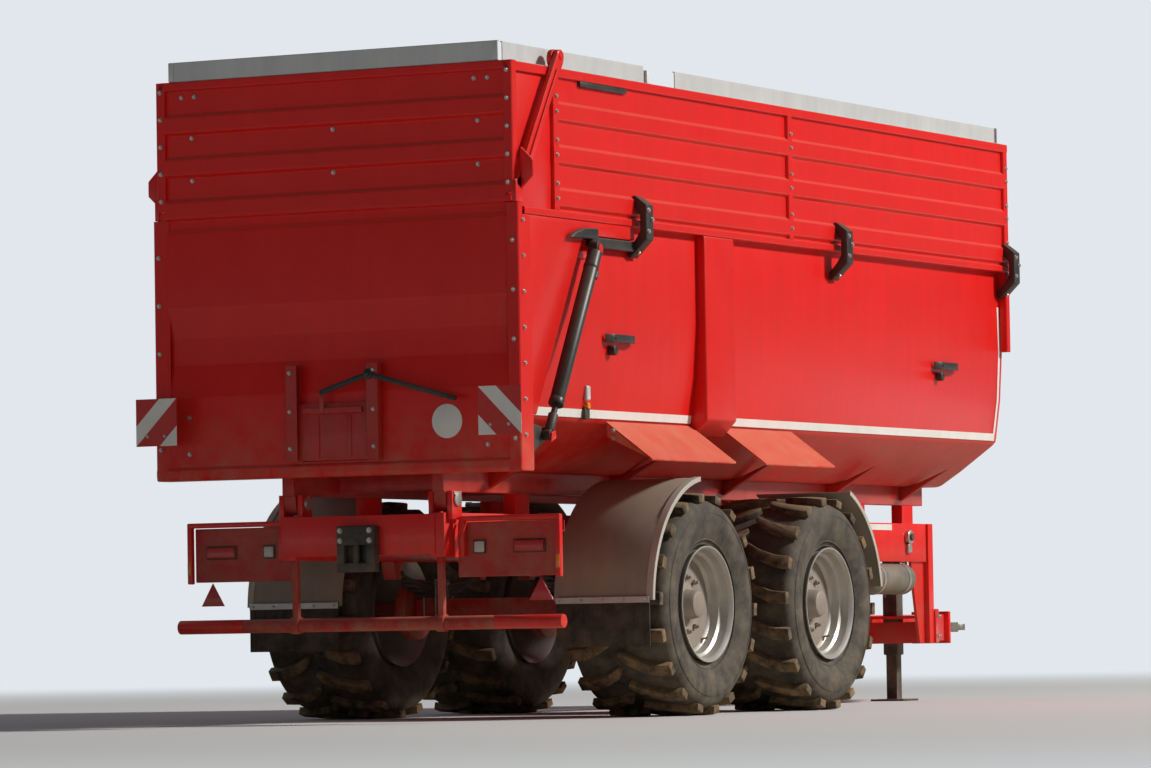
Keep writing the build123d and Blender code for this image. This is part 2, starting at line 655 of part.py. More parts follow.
guide_out = CHUTE_HALF_WIDTH + CHUTE_GUIDE_WIDTH
guide_z = (gate_low, FLOOR_Z + CHUTE_GUIDE_RISE)
guide = block((-CHUTE_GUIDE_DEPTH, GATE_FOLDS[-1][0]), (-guide_out, -CHUTE_HALF_WIDTH), guide_z)
plate_half = CHUTE_HALF_WIDTH + CHUTE_PLATE_LAP
plate_x = (CHUTE_PLATE_X, CHUTE_PLATE_X + CHUTE_PLATE_THICKNESS)
slot_x = (plate_x[0] - RUNNING_GAP, plate_x[1] + RUNNING_GAP)
guide -= block(slot_x, around(0, plate_half + 6), guide_z)
guide -= block((0, GATE_DEPTH), (-guide_out, 0), (GATE_BOTTOM_Z, sill_top))
write("chute_guides", *both_sides(guide))
gate_plate = block(plate_x, around(0, plate_half), (sill_top + 5, chute_z[1] + 25))
gate_plate += block((plate_x[0] - 18, plate_x[0]), around(0, plate_half - 56), (chute_z[1] - 40, chute_z[1]))
write("chute_gate", gate_plate)

lever_front = -CHUTE_GUIDE_DEPTH - RUNNING_GAP
lever_x = (lever_front - LEVER_THICKNESS, lever_front)
lever_middle = lever_front - LEVER_THICKNESS / 2
lever_z = FLOOR_Z + LEVER_RISE
lever = Pos(lever_middle, LEVER_Y, lever_z) * Rot(0, 90, 0) * Cylinder(LEVER_HUB_RADIUS, LEVER_THICKNESS)
for reach, drop in (LEVER_HANDLE, LEVER_ARM):
    turn = math.degrees(math.atan2(drop, reach))
    place = Pos(lever_middle, LEVER_Y + reach / 2, lever_z + drop / 2) * Rot(turn, 0, 0)
    lever += place * Box(LEVER_THICKNESS, math.hypot(reach, drop), LEVER_WIDTH)
write("chute_lever", lever)

board_y = BODY_HALF_WIDTH - BOARD_CENTRE_INSET
board_z = FLOOR_Z + BOARD_RISE
board_x = (-BOARD_OUT, BOARD_THICKNESS - BOARD_OUT)
board = block(board_x, around(-board_y, BOARD_SIZE / 2), around(board_z, BOARD_SIZE / 2))
board += block((board_x[1], 0), around(-board_y, 40), around(board_z - 57, 3))
write("marker_boards", *both_sides(board))
disc_place = Pos(GATE_FOLDS[-1][0] - BOARD_THICKNESS / 2, DISC_Y, FLOOR_Z + DISC_RISE)
write("speed_disc", disc_place * Rot(0, 90, 0) * Cylinder(DISC_RADIUS, BOARD_THICKNESS))

# Chassis frame
trunnion_z = PIVOT_Z - CYLINDER_DROP
rail_bar = block((CHASSIS_REAR_X, CHASSIS_FRONT_X), (-RAIL_OUT, -RAIL_IN), (RAIL_LOW_Z, RAIL_TOP_Z))
frame_parts = both_sides(rail_bar)
cross_top = RAIL_TOP_Z - CROSS_DROP
for x in (*CROSS_X, *[CHASSIS_FRONT_X - back for back in LAST_CROSSES]):
    cross_z = (cross_top - CROSS_HEIGHT, cross_top)
    frame_parts.append(block(around(x, CROSS_WIDTH / 2), (-RAIL_IN, RAIL_IN), cross_z))
post_out = RAIL_OUT + 15
front_x = (CHASSIS_FRONT_X, FRONT_FRAME_X)
for side in SIDES:
    for y_in, y_out in ((sub_in - 40, sub_in - 8), (sub_out + 8, sub_out + 40)):
        plate_y = across(side, y_in, y_out)
        frame_parts.append(block(around(PIVOT_X, 60), plate_y, (RAIL_TOP_Z - 40, PIVOT_Z + 50)))
    pin_reach = across(side, sub_in - 40, sub_out + 40)
    frame_parts.append(pin_y(PIVOT_X, PIVOT_Z, *pin_reach, PIVOT_PIN_RADIUS))
    for x in (*PAD_X, CHASSIS_FRONT_X - 300):
        frame_parts.append(block(around(x, 90), across(side, sub_in, sub_out), (RAIL_TOP_Z, sub_low - 0.3)))
    trunnion_y = across(side, 350, RAIL_IN)
    trunnion = block(around(CYLINDER_X, 75), trunnion_y, around(trunnion_z, 75))
    trunnion -= pin_y(CYLINDER_X, trunnion_z, *trunnion_y, TRUNNION_RADIUS + BORE_GAP)
    frame_parts.append(trunnion)
    frame_parts.append(block(front_x, across(side, RAIL_OUT - 80, post_out), (FRONT_FRAME_LOW_Z, RAIL_TOP_Z)))
    gusset = [(CHASSIS_FRONT_X, RAIL_LOW_Z), (CHASSIS_FRONT_X, FRONT_FRAME_LOW_Z),
              (CHASSIS_FRONT_X - 90, FRONT_FRAME_LOW_Z), (CHASSIS_FRONT_X - 220, RAIL_LOW_Z)]
    frame_parts.append(along_y(gusset, *across(side, RAIL_OUT - 40, RAIL_OUT - 20)))
head_beam_z = (RAIL_TOP_Z - HEAD_BEAM_HEIGHT, RAIL_TOP_Z)
front_beam_z = (FRONT_FRAME_LOW_Z, FRONT_FRAME_LOW_Z + FRONT_BEAM_HEIGHT)
for z in (head_beam_z, front_beam_z):
    frame_parts.append(block(front_x, around(0, RAIL_OUT - 80), z))
rear_plate_x = (CHASSIS_REAR_X - 12, CHASSIS_REAR_X)
frame_parts.append(block(rear_plate_x, around(0, RAIL_OUT - 60), (RAIL_LOW_Z + 20, RAIL_TOP_Z - 5)))
write("chassis_frame", *frame_parts)

# Drawbar, towing eye and jack
drawbar_z = around(DRAWBAR_Z, DRAWBAR_DEPTH / 2)
arm_slope = (post_out - DRAWBAR_FRONT_HALF) / DRAWBAR_LENGTH
drawbar_arm = along_z([
    (FRONT_FRAME_X, -post_out),
    (FRONT_FRAME_X, DRAWBAR_WIDTH - post_out),
    (DRAWBAR_FRONT_X, 0),
    (DRAWBAR_FRONT_X, -DRAWBAR_FRONT_HALF),
], *drawbar_z)
foot_front_x = FRONT_FRAME_X + FOOT_PLATE_LENGTH
foot_shift = arm_slope * FOOT_PLATE_LENGTH
foot_plate = along_z([
    (FRONT_FRAME_X, -post_out),
    (FRONT_FRAME_X, -post_out - FOOT_PLATE_THICKNESS),
    (foot_front_x, foot_shift - post_out - FOOT_PLATE_THICKNESS),
    (foot_front_x, foot_shift - post_out),
], FRONT_FRAME_LOW_Z, FRONT_FRAME_LOW_Z + FOOT_PLATE_HEIGHT)
nose_x = (DRAWBAR_FRONT_X, DRAWBAR_FRONT_X + NOSE_PLATE[0])
nose = block(nose_x, around(0, NOSE_PLATE[1] / 2), around(DRAWBAR_Z, NOSE_PLATE[2] / 2))
plate_low = drawbar_z[1] - JACK_PLATE_DROP
plate_z = (plate_low, plate_low + JACK_PLATE[2])
jack_plate = block(around(JACK_X, JACK_PLATE[0] / 2), around(0, JACK_PLATE[1] / 2), plate_z)
jack_hole_half = JACK_SIZE / 2 + JACK_GAP
jack_hole = block(around(JACK_X, jack_hole_half), around(0, jack_hole_half), around(DRAWBAR_Z, DRAWBAR_DEPTH))
drawbar_parts = [*both_sides(drawbar_arm, foot_plate), nose, jack_plate]
write("drawbar", drawbar_parts[0].fuse(*drawbar_parts[1:]) - jack_hole)
eye = Pos(EYE_X, 0, DRAWBAR_Z) * Cylinder(EYE_RADIUS, EYE_THICKNESS)
shank_x = (nose_x[1] + EYE_FLANGE[0], EYE_X - EYE_BORE_RADIUS * 2)
eye += block(shank_x, around(0, EYE_SHANK[0] / 2), around(DRAWBAR_Z, EYE_SHANK[1] / 2))
eye += block((nose_x[1], shank_x[0]), around(0, EYE_FLANGE[1] / 2), drawbar_z)
write("hitch_eye", eye - Pos(EYE_X, 0, DRAWBAR_Z) * Cylinder(EYE_BORE_RADIUS, DRAWBAR_DEPTH))
foot_half = JACK_FOOT_SIZE / 2
jack_body = block(around(JACK_X, JACK_SIZE / 2), around(0, JACK_SIZE / 2), (JACK_TUBE_LOW_Z, JACK_TOP_Z))
inner_z = (JACK_FOOT_THICKNESS, JACK_TUBE_LOW_Z)
jack_inner = block(around(JACK_X, JACK_INNER / 2), around(0, JACK_INNER / 2), inner_z)
jack_foot = block(around(JACK_X, foot_half), around(0, foot_half), (0, JACK_FOOT_THICKNESS))
write("support_jack", jack_body, jack_inner, jack_foot)

# Axles and leaf springs
wheel_y = TRACK / 2
axles = (("rear", REAR_AXLE_X), ("front", REAR_AXLE_X + AXLE_SPACING))
springs = []
hangers = []
spring_z = TYRE_RADIUS + AXLE_SIZE / 2
spring_y = (-sub_out, SPRING_WIDTH - sub_out)
spring_top = spring_z + SPRING_STACK
for name, x in axles:
    beam = block(around(x, AXLE_SIZE / 2), around(0, AXLE_HALF_LENGTH), around(TYRE_RADIUS, AXLE_SIZE / 2))
    spindle = pin_y(x, TYRE_RADIUS, -wheel_y - 10, -AXLE_HALF_LENGTH, SPINDLE_RADIUS)
    drum = pin_y(x, TYRE_RADIUS, -AXLE_HALF_LENGTH - 80, -AXLE_HALF_LENGTH - 10, DRUM_RADIUS)
    write(f"axle_{name}", beam, *both_sides(spindle, drum))
    underside = [
        (x - SPRING_HALF_LENGTH, spring_z + SPRING_RISE), (x - SPRING_SEAT, spring_z + 25),
        (x - SPRING_SEAT, spring_z), (x + SPRING_SEAT, spring_z),
        (x + SPRING_SEAT, spring_z + 25), (x + SPRING_HALF_LENGTH, spring_z + SPRING_RISE),
    ]
    eye_top = spring_z + SPRING_RISE + SPRING_LEAF
    top_side = [
        (x + SPRING_HALF_LENGTH, eye_top), (x + SPRING_SEAT, spring_top),
        (x - SPRING_SEAT, spring_top), (x - SPRING_HALF_LENGTH, eye_top),
    ]
    springs += both_sides(along_y(underside + top_side, *spring_y))
    for hanger_x in around(x, SPRING_HALF_LENGTH + 30):
        hangers += both_sides(along_y([
            (hanger_x - 70, RAIL_LOW_Z),
            (hanger_x + 70, RAIL_LOW_Z),
            (hanger_x + 34, spring_z + SPRING_RISE - 30),
            (hanger_x - 34, spring_z + SPRING_RISE - 30),
        ], *spring_y))
write("leaf_springs", *springs)
write("spring_hangers", *[h.cut(*springs) for h in hangers])

# Rear bumper, lights and coupling
bumper = pin_y(BUMPER_X, BUMPER_Z, -BUMPER_HALF_LENGTH, BUMPER_HALF_LENGTH, BUMPER_RADIUS)
clamp_half = BUMPER_RADIUS + 12
clamp = block(around(BUMPER_X, clamp_half), around(-BUMPER_CLAMP_Y, 32), around(BUMPER_Z, clamp_half))
support = block(around(BUMPER_X, 20), around(-BUMPER_CLAMP_Y, 20), (BUMPER_Z, RAIL_LOW_Z))
write("underride_bumper", bumper, *both_sides(clamp, support))
board_in = RAIL_OUT + 15
light_out = BODY_HALF_WIDTH + 50
light_z = (LIGHT_BOARD_LOW_Z, LIGHT_BOARD_LOW_Z + LIGHT_BOARD_HEIGHT)
light_x = (BOARD_REAR_X, BOARD_REAR_X + LIGHT_BOARD_THICKNESS)
light_board = block(light_x, (-light_out, -board_in), light_z)
light_arm = block((light_x[1], light_x[1] + 60), (-light_out, -RAIL_OUT), (light_z[1] - 70, light_z[1]))
write("light_boards", *both_sides(light_board, light_arm))
guard_x = (BOARD_REAR_X - GUARD_DEPTH, BOARD_REAR_X)
guard_top = light_z[1] + GUARD_THICKNESS
guard_in = board_in + 25
guard = block(guard_x, (-light_out - GUARD_THICKNESS, -guard_in), (light_z[1], guard_top))
guard += block(guard_x, (-light_out - GUARD_THICKNESS, -light_out), (light_z[0] - GUARD_LEG_DROP, guard_top))
guard += block(guard_x, (-guard_in - GUARD_LEG_WIDTH, -guard_in), (light_z[0] + GUARD_LEG_RISE, guard_top))
write("light_guards", *both_sides(guard))
lamp_z = light_z[0] + LAMP_RISE
long_x = (BOARD_REAR_X - LONG_LAMP[0], BOARD_REAR_X)
long_y = (LONG_LAMP_INSET - light_out, LONG_LAMP_INSET + LONG_LAMP[1] - light_out)
long_lamp = block(long_x, long_y, around(lamp_z, LONG_LAMP[2] / 2))
small_x = (BOARD_REAR_X - SMALL_LAMP[0], BOARD_REAR_X)
small_y = (-board_in - SMALL_LAMP_INSET - SMALL_LAMP[1], -board_in - SMALL_LAMP_INSET)
small_lamp = block(small_x, small_y, around(lamp_z, SMALL_LAMP[2] / 2))
write("rear_lamps", *both_sides(long_lamp, small_lamp))
tip_y = REFLECTOR_INSET - light_out
triangle = [
    (tip_y, light_z[0]),
    (tip_y + REFLECTOR_SIDE, light_z[0]),
    (tip_y + REFLECTOR_SIDE / 2, light_z[0] - REFLECTOR_HEIGHT),
]
write("rear_reflectors", *both_sides(along_x(triangle, BOARD_REAR_X, BOARD_REAR_X + REFLECTOR_THICKNESS)))
coupling_x = (COUPLING_X, rear_plate_x[0])
coupling_z = [RAIL_LOW_Z + rise for rise in COUPLING_RISE]
coupling = block(coupling_x, around(0, COUPLING_WIDTH / 2), coupling_z)
slot_z = [RAIL_LOW_Z + rise for rise in COUPLING_SLOT_RISE]
coupling -= block((COUPLING_X, COUPLING_X + COUPLING_SLOT[0]), around(0, COUPLING_SLOT[1] / 2), slot_z)
write("rear_coupling", coupling)


def fender(x, start_deg, end_deg, stay_deg):
    """A curved mudguard with a folded outer lip, and the stay that carries it."""
    turns = [math.radians(start_deg + (end_deg - start_deg) * i / 6) for i in range(7)]
    rings = []
    for width, depth in ((FENDER_WIDTH, FENDER_THICKNESS), (8, FENDER_LIP)):
        outline = []
        for radius, order in ((FENDER_RADIUS, 1), (FENDER_RADIUS - depth, -1)):
            outline += [(x + radius * math.cos(t), TYRE_RADIUS + radius * math.sin(t)) for t in turns[::order]]
        fender_edge = -wheel_y - FENDER_OUT
        rings.append(along_y(outline, fender_edge, fender_edge + width))
    turn = math.radians(stay_deg)
    low = FENDER_RADIUS - FENDER_THICKNESS - STAY_RADIUS + 4
    stay_x = x + low * math.cos(turn)
    stay_z = TYRE_RADIUS + low * math.sin(turn)
    return rings[0] + rings[1] + pin_y(stay_x, stay_z, -wheel_y - 225, -RAIL_OUT, STAY_RADIUS)


# Fenders, flaps and air tanks
write("rear_fenders", *both_sides(fender(axles[0][1], 98, 178, 140)))
write("front_fenders", *both_sides(fender(axles[1][1], 8, 67, 40)))
flap_x = REAR_AXLE_X - FENDER_RADIUS
flap_y = (-wheel_y - FENDER_OUT + 20, 315 - wheel_y)
flap_z = [TYRE_RADIUS + rise for rise in FLAP_RISE]
write("mud_flaps", *both_sides(block((flap_x - 10, flap_x), flap_y, flap_z)))
tank_x = CHASSIS_FRONT_X - TANK_SETBACK
tank = Pos(tank_x, -TANK_Y, TANK_Z) * Rot(0, 90, 0) * Cylinder(TANK_RADIUS, TANK_LENGTH)
for strap_x in around(tank_x, TANK_STRAP_SPACING):
    strap_y = around(-TANK_Y, TANK_STRAP_WIDTH / 2)
    tank += block(around(strap_x, TANK_STRAP_HALF), strap_y, (TANK_Z + TANK_RADIUS / 2, RAIL_LOW_Z))
write("air_tanks", *both_sides(tank))


def tube(radius, low, high, bore=0):
    """An upright tube or bar on the tipping cylinder's line."""
    place = Pos(CYLINDER_X, 0, (low + high) / 2)
    shape = Cylinder(radius, high - low)
    if bore:
        shape -= Cylinder(bore, high - low)
    return place * shape


# Tipping cylinder: barrel on trunnions and telescopic stages
barrel_top = eye_z - BARREL_TOP_DROP
barrel_base = BARREL_BOTTOM_Z + BARREL_BASE
barrel = tube(BARREL_RADIUS, barrel_base, barrel_top, BARREL_RADIUS - STAGE_WALL)
barrel += tube(BARREL_RADIUS, BARREL_BOTTOM_Z, barrel_base)
for side in SIDES:
    barrel += pin_y(CYLINDER_X, trunnion_z, *across(side, BARREL_RADIUS - 4, RAIL_IN - 20), TRUNNION_RADIUS)
write("tip_cylinder_barrel", barrel)
for index in range(STAGE_COUNT - 1):
    radius = BARREL_RADIUS - (index + 1) * STAGE_STEP
    low = barrel_base + (index + 1) * STAGE_FOOT_RISE
    high = barrel_top + (index + 1) * STAGE_RISE
    write(f"tip_cylinder_stage_{index + 1}", tube(radius, low, high, radius - STAGE_WALL))
radius = BARREL_RADIUS - STAGE_COUNT * STAGE_STEP
high = barrel_top + STAGE_COUNT * STAGE_RISE
last_stage = tube(radius, barrel_base + STAGE_COUNT * STAGE_FOOT_RISE, high)
last_stage += block(around(CYLINDER_X, 36), around(0, EYE_HALF), (high, eye_z))
last_stage += pin_y(CYLINDER_X, eye_z, -EYE_HALF, EYE_HALF, EYE_HEAD_RADIUS)
last_stage += pin_y(CYLINDER_X, eye_z, -CHEEK_GAP + RUNNING_GAP, CHEEK_GAP - RUNNING_GAP, EYE_PIN_RADIUS)
write(f"tip_cylinder_stage_{STAGE_COUNT}", last_stage)

# Tailgate cylinders
ram_length = math.dist(RAM_TOP, RAM_FOOT)


def on_ram(distance):
    """The point at a distance down the cylinder's line from its upper pin."""
    share = distance / ram_length
    return tuple(a + (b - a) * share for a, b in zip(RAM_TOP, RAM_FOOT))


ram_barrel = tube_between(on_ram(30), on_ram(ram_length - 90), -RAM_Y, RAM_RADIUS)
ram_barrel += pin_y(*RAM_TOP, -RAM_Y - RAM_EYE_OUT, -RAM_Y + 38, RAM_HEAD_RADIUS)
ram_barrel -= tube_between(on_ram(50), on_ram(ram_length - 80), -RAM_Y, RAM_BORE)
ram_barrel -= pin_y(*RAM_TOP, -RAM_Y - 40, -RAM_Y + 40, GATE_PIN_RADIUS + BORE_GAP)
write_pair("gate_cylinder_barrel", ram_barrel)
ram_rod = tube_between(on_ram(60), on_ram(ram_length - 20), -RAM_Y, RAM_ROD_RADIUS)
ram_rod += pin_y(*RAM_FOOT, -RAM_Y - RAM_EYE_OUT, -RAM_Y + RAM_EYE_IN, RAM_EYE_RADIUS)
write_pair("gate_cylinder_rod", ram_rod)
anchor = pin_y(*RAM_TOP, -RAM_Y - ANCHOR_PIN_END, -PANEL, GATE_PIN_RADIUS)
anchor_y = (-PANEL - ANCHOR_THICKNESS, -PANEL)
anchor += block(around(RAM_TOP[0], ANCHOR_HALF), anchor_y, around(RAM_TOP[1], ANCHOR_HALF))
write("gate_cylinder_anchors", *both_sides(anchor - corner_plate))

# Wheels
half = TYRE_WIDTH / 2
casing = [(BEAD_RADIUS + BEAD_THICKNESS, half - BEAD_INSET), (TREAD_RADIUS - SHOULDER, half),
          (TREAD_RADIUS, half - BEAD_INSET)]
stations = [(r, -y) for r, y in casing] + casing[::-1]
rings = [Pos(0, y, 0) * Rot(90, 0, 0) * RegularPolygon(r, CARCASS_SIDES) for r, y in stations]
carcass = Solid.make_loft([ring.wire() for ring in rings], ruled=True)
lug_height = TREAD_DEPTH + LUG_ROOT
lug_turn = math.radians(LUG_ANGLE)
corner_reach = LUG_LENGTH / 2 * math.sin(lug_turn) + LUG_WIDTH / 2 * math.cos(lug_turn)
lug_top = math.sqrt(TYRE_RADIUS ** 2 - corner_reach ** 2)
lug_pitch = 360 / LUG_COUNT
lugs = []
for index in range(LUG_COUNT):
    for side in SIDES:
        lug = Box(lug_height, LUG_LENGTH, LUG_WIDTH)
        place = Pos(lug_top - lug_height / 2, side * LUG_CENTRE, 0) * Rot(side * LUG_ANGLE, 0, 0)
        lugs.append(Rot(0, lug_pitch * (index + side / 4), 0) * place * lug)
corner_down = 90 + math.degrees(math.asin(corner_reach / TYRE_RADIUS)) - lug_pitch / 4
tyre = carcass.fuse(*lugs) - Rot(90, 0, 0) * Cylinder(BEAD_RADIUS, TYRE_WIDTH + 10)
tyre = Rot(0, corner_down, 0) * tyre
seat = BEAD_RADIUS - 0.3
disc_out = DISC_OFFSET + 20
hub_bore = SPINDLE_RADIUS + SPINDLE_GAP
cap_out = disc_out + DISC_THICKNESS + HUB_CAP_LENGTH
rim_points = [
    (seat, -285), (seat, 285),
    (BEAD_RADIUS - 40, disc_out + DISC_THICKNESS), (HUB_CAP_RADIUS, disc_out + DISC_THICKNESS),
    (HUB_CAP_RADIUS, cap_out), (0, cap_out),
    (0, 20), (hub_bore, 20), (hub_bore, -90), (HUB_RADIUS, -90), (HUB_RADIUS, disc_out),
    (BEAD_RADIUS - 60, disc_out),
]
rim = revolve(make_face(Polyline(*[(r, -y, 0) for r, y in rim_points], close=True)), axis=Axis.Y)
for name, x in axles:
    write_pair(f"tyre_{name}", Pos(x, -wheel_y, TYRE_RADIUS) * tyre)
    write_pair(f"rim_{name}", Pos(x, -wheel_y, TYRE_RADIUS) * rim)
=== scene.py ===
# %% [markdown]
# # A farm tipping trailer, dressed in Blender
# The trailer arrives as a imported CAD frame: every plate, wheel and cylinder is already at its
# real size and place, in metres, with +X forward and the ground at Z = 0. This lesson gives it
# the looks: folded sheet metal with soft edges, lugged tyres, dished rims, paint and dust.
# The frame could be rebuilt by eye, but then nothing would fit its joints, so it is loaded first.

# %% Load the frame
import json
import math
import bpy
from mathutils import Matrix, Vector

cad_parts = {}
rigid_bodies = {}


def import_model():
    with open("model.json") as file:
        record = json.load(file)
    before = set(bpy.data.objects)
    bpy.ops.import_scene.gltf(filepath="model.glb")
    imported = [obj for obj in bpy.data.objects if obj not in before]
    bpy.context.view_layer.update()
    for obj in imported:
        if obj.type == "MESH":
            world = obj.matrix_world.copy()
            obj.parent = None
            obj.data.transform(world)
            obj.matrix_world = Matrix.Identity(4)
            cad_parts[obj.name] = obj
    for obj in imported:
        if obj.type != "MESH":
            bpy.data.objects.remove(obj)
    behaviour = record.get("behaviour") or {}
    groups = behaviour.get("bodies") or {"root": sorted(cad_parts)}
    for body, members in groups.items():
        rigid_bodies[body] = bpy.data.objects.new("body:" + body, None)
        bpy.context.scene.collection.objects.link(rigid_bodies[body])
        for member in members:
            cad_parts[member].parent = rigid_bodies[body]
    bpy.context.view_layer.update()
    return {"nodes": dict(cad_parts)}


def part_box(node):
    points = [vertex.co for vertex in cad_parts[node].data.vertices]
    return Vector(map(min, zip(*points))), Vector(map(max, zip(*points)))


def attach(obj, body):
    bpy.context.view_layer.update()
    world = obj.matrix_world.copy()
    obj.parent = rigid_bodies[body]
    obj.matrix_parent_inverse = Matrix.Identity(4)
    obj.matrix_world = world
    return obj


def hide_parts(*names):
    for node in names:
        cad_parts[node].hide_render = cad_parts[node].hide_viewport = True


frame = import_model()
NODES = frame["nodes"]
REAR_FACE_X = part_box("tailgate_panel")[0].x
print("frame loaded:", len(NODES), "nodes")

# %% [markdown]
# ## A few hands' worth of helpers
# Nearly all of a trailer is sheet, plate, tube and turned parts. So four starting moves are enough:
# a box grown from a cube, a folded sheet drawn out edge by edge from a plane, a turned part spun
# from a profile, and a bar laid between two points. Places along X could be given in the frame's own
# X, but a trailer is measured from its tail. So they count from the tailgate's rear face, and dress
# moves each finished mesh into the frame.

# %% Selecting and finishing helpers
PIECES = []


def deselect():
    bpy.ops.object.select_all(action="DESELECT")


def activate(*pieces):
    """Selects these pieces alone, the first one active."""
    deselect()
    for piece in pieces:
        piece.select_set(True)
    bpy.context.view_layer.objects.active = pieces[0]


def start_edit():
    bpy.ops.object.mode_set(mode="EDIT")
    bpy.ops.mesh.select_all(action="SELECT")


def end_edit():
    """Turns all faces outwards and goes back to object mode."""
    bpy.ops.mesh.select_all(action="SELECT")
    bpy.ops.mesh.normals_make_consistent(inside=False)
    bpy.ops.object.mode_set(mode="OBJECT")


def bake_place(piece):
    """Moves the object's place, turn and scale into its mesh."""
    activate(piece)
    bpy.ops.object.transform_apply(location=True, rotation=True, scale=True)
    return piece


def discard(*pieces):
    for piece in pieces:
        bpy.data.objects.remove(piece, do_unlink=True)


def apply_modifier(piece, kind, **values):
    """Adds one modifier with the given values and applies it."""
    modifier = piece.modifiers.new(kind.lower(), kind)
    for key, value in values.items():
        setattr(modifier, key, value)
    activate(piece)
    bpy.ops.object.modifier_apply(modifier=modifier.name)
    return piece


def bevel(piece, width, segments, angle):
    return apply_modifier(piece, "BEVEL", width=width, segments=segments, limit_method="ANGLE",
                          angle_limit=math.radians(angle), use_clamp_overlap=True)


def smooth(piece, angle):
    activate(piece)
    bpy.ops.object.shade_smooth_by_angle(angle=math.radians(angle))
    return piece


def soften(piece, width, segments, angle=32):
    """Rounds the sharp edges, as a press or a grinder leaves them, and smooths the shading."""
    return smooth(bevel(piece, width, segments, angle), 40)


def join(name, parts):
    """Joins pieces into one mesh under one name."""
    activate(*parts)
    if len(parts) > 1:
        bpy.ops.object.join()
    parts[0].name = name
    return parts[0]


def copy_at(piece, matrix, name="copy"):
    """A copy with its own mesh, moved by a matrix; a mirrored copy is turned right side out."""
    activate(piece)
    bpy.ops.object.duplicate(linked=False)
    twin = bpy.context.object
    twin.name = name
    twin.matrix_world = matrix @ twin.matrix_world
    bake_place(twin)
    if matrix.determinant() < 0:
        start_edit()
        end_edit()
    return twin


MIRROR = Matrix.Scale(-1, 4, (0, 1, 0))


def both(name, piece):
    """The piece and its twin on the other side of the trailer, joined."""
    return join(name, [piece, copy_at(piece, MIRROR)])


def wear(piece, body, slot, material, *replaced):
    """Gives a piece its finish, rides it on its body and hides the CAD nodes it stands for."""
    piece.data.materials.clear()
    piece.data.materials.append(material)
    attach(piece, body)
    if replaced:
        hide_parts(*replaced)
    PIECES.append(piece.name)
    return piece


def dress(piece, *looks):
    """Moves a piece into the frame's own X, and then does what wear does."""
    piece.location.x += REAR_FACE_X
    return wear(bake_place(piece), *looks)


def dress_pair(name, parts, *looks):
    """Joins the right side's parts, adds their mirrored twin and dresses both as one piece."""
    return dress(both(name, join(name + "_right", parts)), *looks)


# %% Shape helpers
def rounded(piece, soft):
    return soften(piece, *soft) if soft else piece


def box(low, high, name="box", soft=()):
    """A block between two corners, from a cube."""
    deselect()
    middle = [(a + b) / 2 for a, b in zip(low, high)]
    bpy.ops.mesh.primitive_cube_add(size=1, location=middle)
    piece = bpy.context.object
    piece.scale = [abs(b - a) for a, b in zip(low, high)]
    piece.name = name
    return rounded(bake_place(piece), soft)


def bar(start, end, radius, sides=24, name="bar", soft=()):
    """A round bar between two points, from a cylinder."""
    deselect()
    start, end = Vector(start), Vector(end)
    bpy.ops.mesh.primitive_cylinder_add(vertices=sides, radius=radius, depth=(end - start).length,
                                        location=(start + end) / 2)
    piece = bpy.context.object
    piece.rotation_mode = "QUATERNION"
    piece.rotation_quaternion = (end - start).to_track_quat("Z", "Y")
    piece.name = name
    return rounded(bake_place(piece), soft)


def draw(points, name):
    """A line of edges: a plane merged to one vertex, then extruded from point to point."""
    deselect()
    bpy.ops.mesh.primitive_plane_add(size=0.01, location=points[0])
    piece = bpy.context.object
    piece.name = name
    bake_place(piece)
    start_edit()
    bpy.ops.mesh.merge(type="CENTER")
    for before, after in zip(points, points[1:]):
        step = [b - a for a, b in zip(before, after)]
        bpy.ops.mesh.extrude_region_move(TRANSFORM_OT_translate={"value": step})
    bpy.ops.object.mode_set(mode="OBJECT")
    return piece


def sheet(points, sweep, thickness, fold=0.0, name="sheet", soft=()):
    """A folded sheet: its middle line is extruded along sweep, bent round and given its thickness."""
    piece = draw(points, name)
    start_edit()
    bpy.ops.mesh.extrude_region_move(TRANSFORM_OT_translate={"value": sweep})
    end_edit()
    if fold:
        bevel(piece, fold, 4, 8)
    apply_modifier(piece, "SOLIDIFY", thickness=thickness, offset=0.0)
    return rounded(piece, soft)


def prism(points, sweep, soft=()):
    """A plate of any outline: the outline is drawn, closed to a face, and extruded along sweep."""
    piece = draw(list(points) + [points[0]], "prism")
    start_edit()
    bpy.ops.mesh.remove_doubles(threshold=1e-5)
    bpy.ops.mesh.edge_face_add()
    bpy.ops.mesh.extrude_region_move(TRANSFORM_OT_translate={"value": sweep})
    end_edit()
    return rounded(piece, soft)


def turned(profile, centre=(0, 0, 0), axis=(0, 1, 0), steps=64, soft=()):
    """A turned part: a profile of points around centre is spun a full turn about axis."""
    piece = draw([Vector(centre) + Vector(p) for p in profile], "turned")
    start_edit()
    bpy.ops.mesh.spin(steps=steps, angle=math.tau, center=centre, axis=axis)
    bpy.ops.mesh.select_all(action="SELECT")
    bpy.ops.mesh.remove_doubles(threshold=1e-5)
    end_edit()
    return rounded(piece, soft)


def repeat(name, seed, places):
    """Copies one modelled piece to many places and joins them; the seed itself is removed."""
    copies = [copy_at(seed, Matrix.Translation(place)) for place in places]
    discard(seed)
    return join(name, copies)


def bolt_head(facing, radius):
    """One hexagon bolt head with its washer, at the origin, pointing along facing."""
    facing = Vector(facing)
    washer = bar((0, 0, 0), facing * 0.003, radius * 1.25, 20)
    head = bar(facing * 0.003, facing * 0.013, radius, 6, soft=(0.0015, 1))
    return join("bolt", [washer, head])


def along_x(x, line):
    """Y, Z points set at one place along the trailer."""
    return [(x, y, z) for y, z in line]


